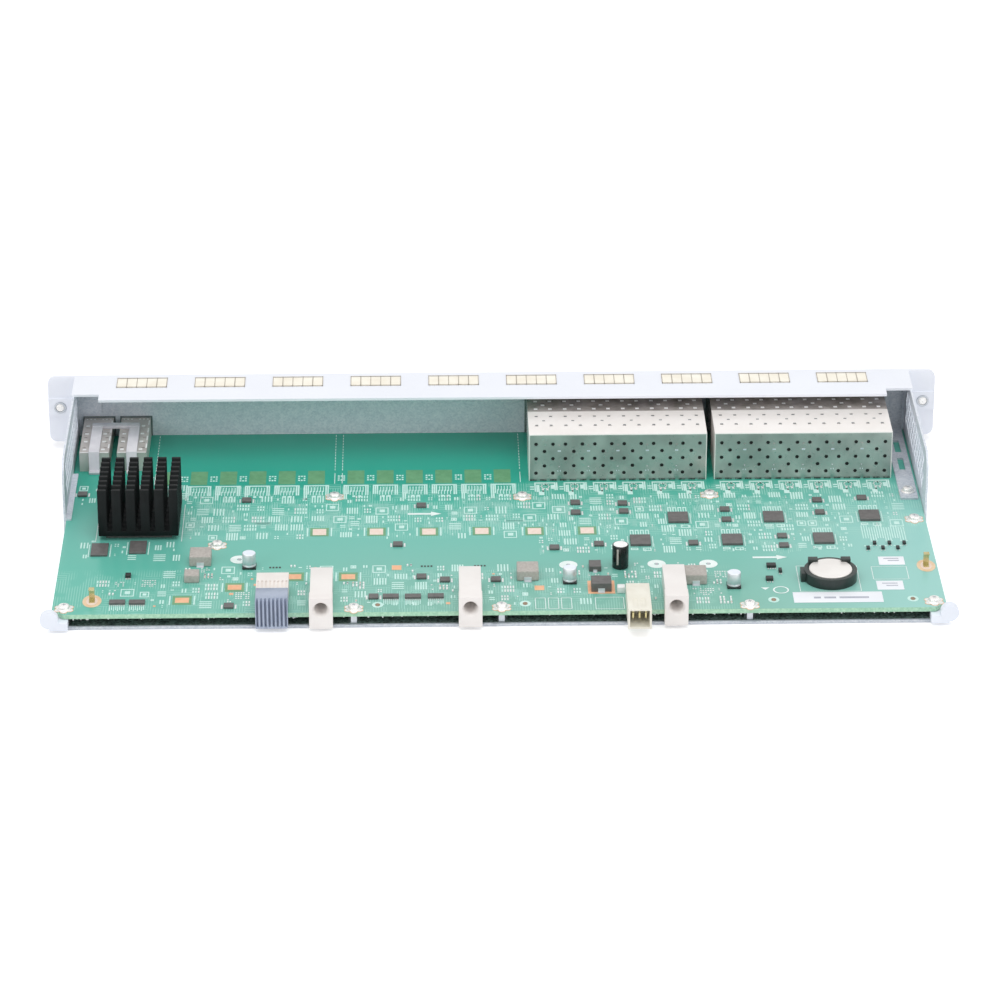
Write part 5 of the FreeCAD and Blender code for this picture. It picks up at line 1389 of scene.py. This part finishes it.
def window_frames():
    """Thin dull edges of the finger windows in the flange, and of the five fingers in each."""
    frames = []
    near, far, half, fingers = 2.2, 13.8, 12.4, 5
    for low, high in islands("emi_finger_strips"):
        middle = (low.x + high.x) / 2
        left, right = middle - half, middle + half
        rise = high.z + PRINT_LIFT
        for x0, y0, x1, y1 in ((left, near, right, near + 0.7), (left, far - 0.7, right, far),
                               (left, near, left + 0.4, far), (right - 0.4, near, right, far)):
            frames.append(((x0, y0, rise), (x1, y1, rise)))
        for number in range(1, fingers):
            x = left + 2 * half * number / fingers
            frames.append(((x - 0.2, near, rise), (x + 0.2, far, rise)))
    return frames


class LINECARD_OT_labels(bpy.types.Operator):
    """Bare paper labels with plain grey bars"""

    bl_idname = "linecard.labels"
    bl_label = "Labels"

    def execute(self, context):
        sheets = (((-176.4, 182.5), (-135.2, 193.2)), ((-190.2, 145.9), (-178.1, 154.6)),
                  ((-187.2, 171.4), (-174.8, 180.6)))
        meshes = [block(f"label_{number}", (*low, BOARD_TOP + 0.04), (*high, BOARD_TOP + 0.16), 0.05)
                  for number, (low, high) in enumerate(sheets)]
        assembled("paper_labels", meshes, "paper")
        bars = [((-170.0, 187.4), (-156.4, 189.2)), ((-154.8, 187.4), (-149.4, 189.2)),
                ((-147.8, 187.4), (-144.6, 189.2)), ((-187.6, 147.6), (-180.6, 148.5)),
                ((-187.6, 149.8), (-182.4, 150.7)), ((-184.6, 173.6), (-177.4, 174.5)),
                ((-184.6, 176.0), (-179.2, 176.9))]
        printed("label_bars", bars, 0.18, "print")
        return {"FINISHED"}


class LINECARD_OT_tray_film(bpy.types.Operator):
    """The tray with its low rear lip, a dark film on its floor that stands for the shade under the board,
    and the solder points over it
    """

    bl_idname = "linecard.tray_film"
    bl_label = "Tray film"

    def execute(self, context):
        tray = softened("base_tray", 0.12, segments=1)
        lip_from, lip_height = 188.0, 1.4
        for vert in tray.data.vertices:
            if vert.co.y / MM > lip_from and vert.co.z / MM > lip_height:
                vert.co.z = (lip_height + (vert.co.z / MM - lip_height) * 0.05) * MM
        tray.data.update()
        low, high = box_mm("base_tray")
        floor = 1.2
        # painted shade: the dark film darkens the tray floor in the gap under the board's rear edge
        film = block("film", (low.x + 2.0, 3.0, floor + 0.02), (high.x - 2.0, high.y - 1.6, floor + 0.3),
                     0.05)
        object_from("insulating_film", film, "film_black")
        dice = random.Random(11)
        joint = lathe("joint", [(0, -1.3), (0.25, -1.25), (0.5, -0.4), (0.8, 0), (0, 0)], segments=6)
        under = BOARD_LOW.z / MM
        spots = [(dice.uniform(-196, 196), dice.uniform(189, 197.6), under, 0, 0) for _ in range(420)]
        stand_copies("solder_points", joint, spots, "tinned")
        return {"FINISHED"}


class LINECARD_OT_stage(bpy.types.Operator):
    """Floor, even studio light and the camera"""

    bl_idname = "linecard.stage"
    bl_label = "Stage"

    def execute(self, context):
        stage = context.scene.linecard_stage
        floor_mesh = bpy.data.meshes.new("floor")
        reach = 6.0    # metres
        floor_mesh.from_pydata([(-reach, -reach, 0), (reach, -reach, 0), (reach, reach, 0),
                                (-reach, reach, 0)], [], [(0, 1, 2, 3)])
        floor = bpy.data.objects.new("floor", floor_mesh)
        context.scene.collection.objects.link(floor)
        floor_mesh.materials.append(floor_finish(stage.floor_colour))
        floor.location.z = -0.0002
        sky(context.scene, stage.sky_strength)
        lights(context.scene, stage)
        camera(context.scene, stage)
        context.scene.view_settings.view_transform = "Standard"
        return {"FINISHED"}


def seen_straight(tree):
    """One where the camera looks straight, in a reflection or through glass, and zero elsewhere."""
    path = add(tree, "ShaderNodeLightPath").outputs
    seen = sums(tree, "MAXIMUM", path["Is Camera Ray"], path["Is Glossy Ray"])
    return sums(tree, "MAXIMUM", seen, path["Is Transmission Ray"])


def floor_finish(tint):
    """A pale matt floor that the camera and reflections see as white, with its shadow kept."""
    material, tree, shader = finish_named("pale_floor", {"Roughness": 0.9})
    soft = steps(tree, noise(tree, place_mm(tree), 400.0), [(0.3, "#f7f7f8"), (0.7, "#fbfbfc")])
    tree.links.new(soft, shader.inputs["Base Color"])
    seen = seen_straight(tree)
    glow = add(tree, "ShaderNodeEmission", None, {"Color": tuple(tint), "Strength": 0.35})
    lit = add(tree, "ShaderNodeAddShader", None, {0: shader.outputs[0], 1: glow.outputs[0]})
    both = add(tree, "ShaderNodeMixShader", None, {0: seen, 1: shader.outputs[0], 2: lit.outputs[0]})
    tree.links.new(both.outputs[0], tree.nodes["Material Output"].inputs["Surface"])
    return material


def sky(scene, strength):
    """An even sky, white where the camera or a reflection looks at it."""
    world = bpy.data.worlds.new("studio")
    scene.world = world
    world.use_nodes = True
    tree = world.node_tree
    bright = span(tree, seen_straight(tree), 0.0, 1.0, strength, 1.0)
    background = tree.nodes["Background"]
    background.inputs["Color"].default_value = colour("#ffffff")
    tree.links.new(bright, background.inputs["Strength"])


def lights(scene, stage):
    """A broad light overhead and one to each side of the camera."""
    for name, place, size, power in (
            ("key", (0.0, 0.35, 1.3), 1.6, stage.key_power),
            ("left", (1.3, 1.2, 0.7), 1.0, stage.side_power),
            ("right", (-1.3, 1.2, 0.7), 1.0, stage.side_power)):
        data = bpy.data.lights.new(name, "AREA")
        data.shape = "DISK"
        data.size = size
        data.energy = power
        lamp = bpy.data.objects.new(name, data)
        lamp.location = place
        lamp.rotation_euler = (Vector((0, 0.1, 0)) - Vector(place)).to_track_quat("-Z", "Y").to_euler()
        scene.collection.objects.link(lamp)


def camera(scene, stage):
    """The camera, behind the card and looking down on its board."""
    down, side = stage.camera_down, stage.camera_side
    forward = Vector((-math.sin(side) * math.cos(down), -math.cos(side) * math.cos(down),
                      -math.sin(down)))
    right = Vector((-math.cos(side), math.sin(side), 0))
    up = right.cross(forward)
    data = bpy.data.cameras.new("camera")
    data.lens = stage.lens
    data.sensor_width = 36.0
    data.clip_start, data.clip_end = 0.05, 30.0
    lens = bpy.data.objects.new("camera", data)
    turn = Matrix((right, up, -forward)).transposed()
    lens.matrix_world = Matrix.Translation(stage.camera_place) @ turn.to_4x4()
    scene.collection.objects.link(lens)
    scene.camera = lens


# ------------------------------------------------------------------------------- panel

OPERATORS = (LINECARD_OT_finishes, LINECARD_OT_soften, LINECARD_OT_turned, LINECARD_OT_small_parts,
             LINECARD_OT_leads, LINECARD_OT_tracks, LINECARD_OT_legend, LINECARD_OT_pads,
             LINECARD_OT_cage_details, LINECARD_OT_labels, LINECARD_OT_tray_film, LINECARD_OT_stage)


class LINECARD_PT_panel(bpy.types.Panel):
    """The operators, in the order in which they are used"""

    bl_idname = "LINECARD_PT_panel"
    bl_label = "Line card"
    bl_space_type = "VIEW_3D"
    bl_region_type = "UI"
    bl_category = "Line card"

    def draw(self, context):
        for operator in OPERATORS:
            self.layout.operator(operator.bl_idname)


CLASSES = (BoardSettings, MetalSettings, StageSettings, *OPERATORS, LINECARD_PT_panel)


def register():
    for item in CLASSES:
        bpy.utils.register_class(item)
    bpy.types.Scene.linecard_board = bpy.props.PointerProperty(type=BoardSettings)
    bpy.types.Scene.linecard_metal = bpy.props.PointerProperty(type=MetalSettings)
    bpy.types.Scene.linecard_stage = bpy.props.PointerProperty(type=StageSettings)


def unregister():
    for name in ("linecard_board", "linecard_metal", "linecard_stage"):
        delattr(bpy.types.Scene, name)
    for item in reversed(CLASSES):
        bpy.utils.unregister_class(item)


def main():
    register()
    for operator in OPERATORS:
        group, name = operator.bl_idname.split(".")
        getattr(getattr(bpy.ops, group), name)()


if __name__ == "__main__":
    main()
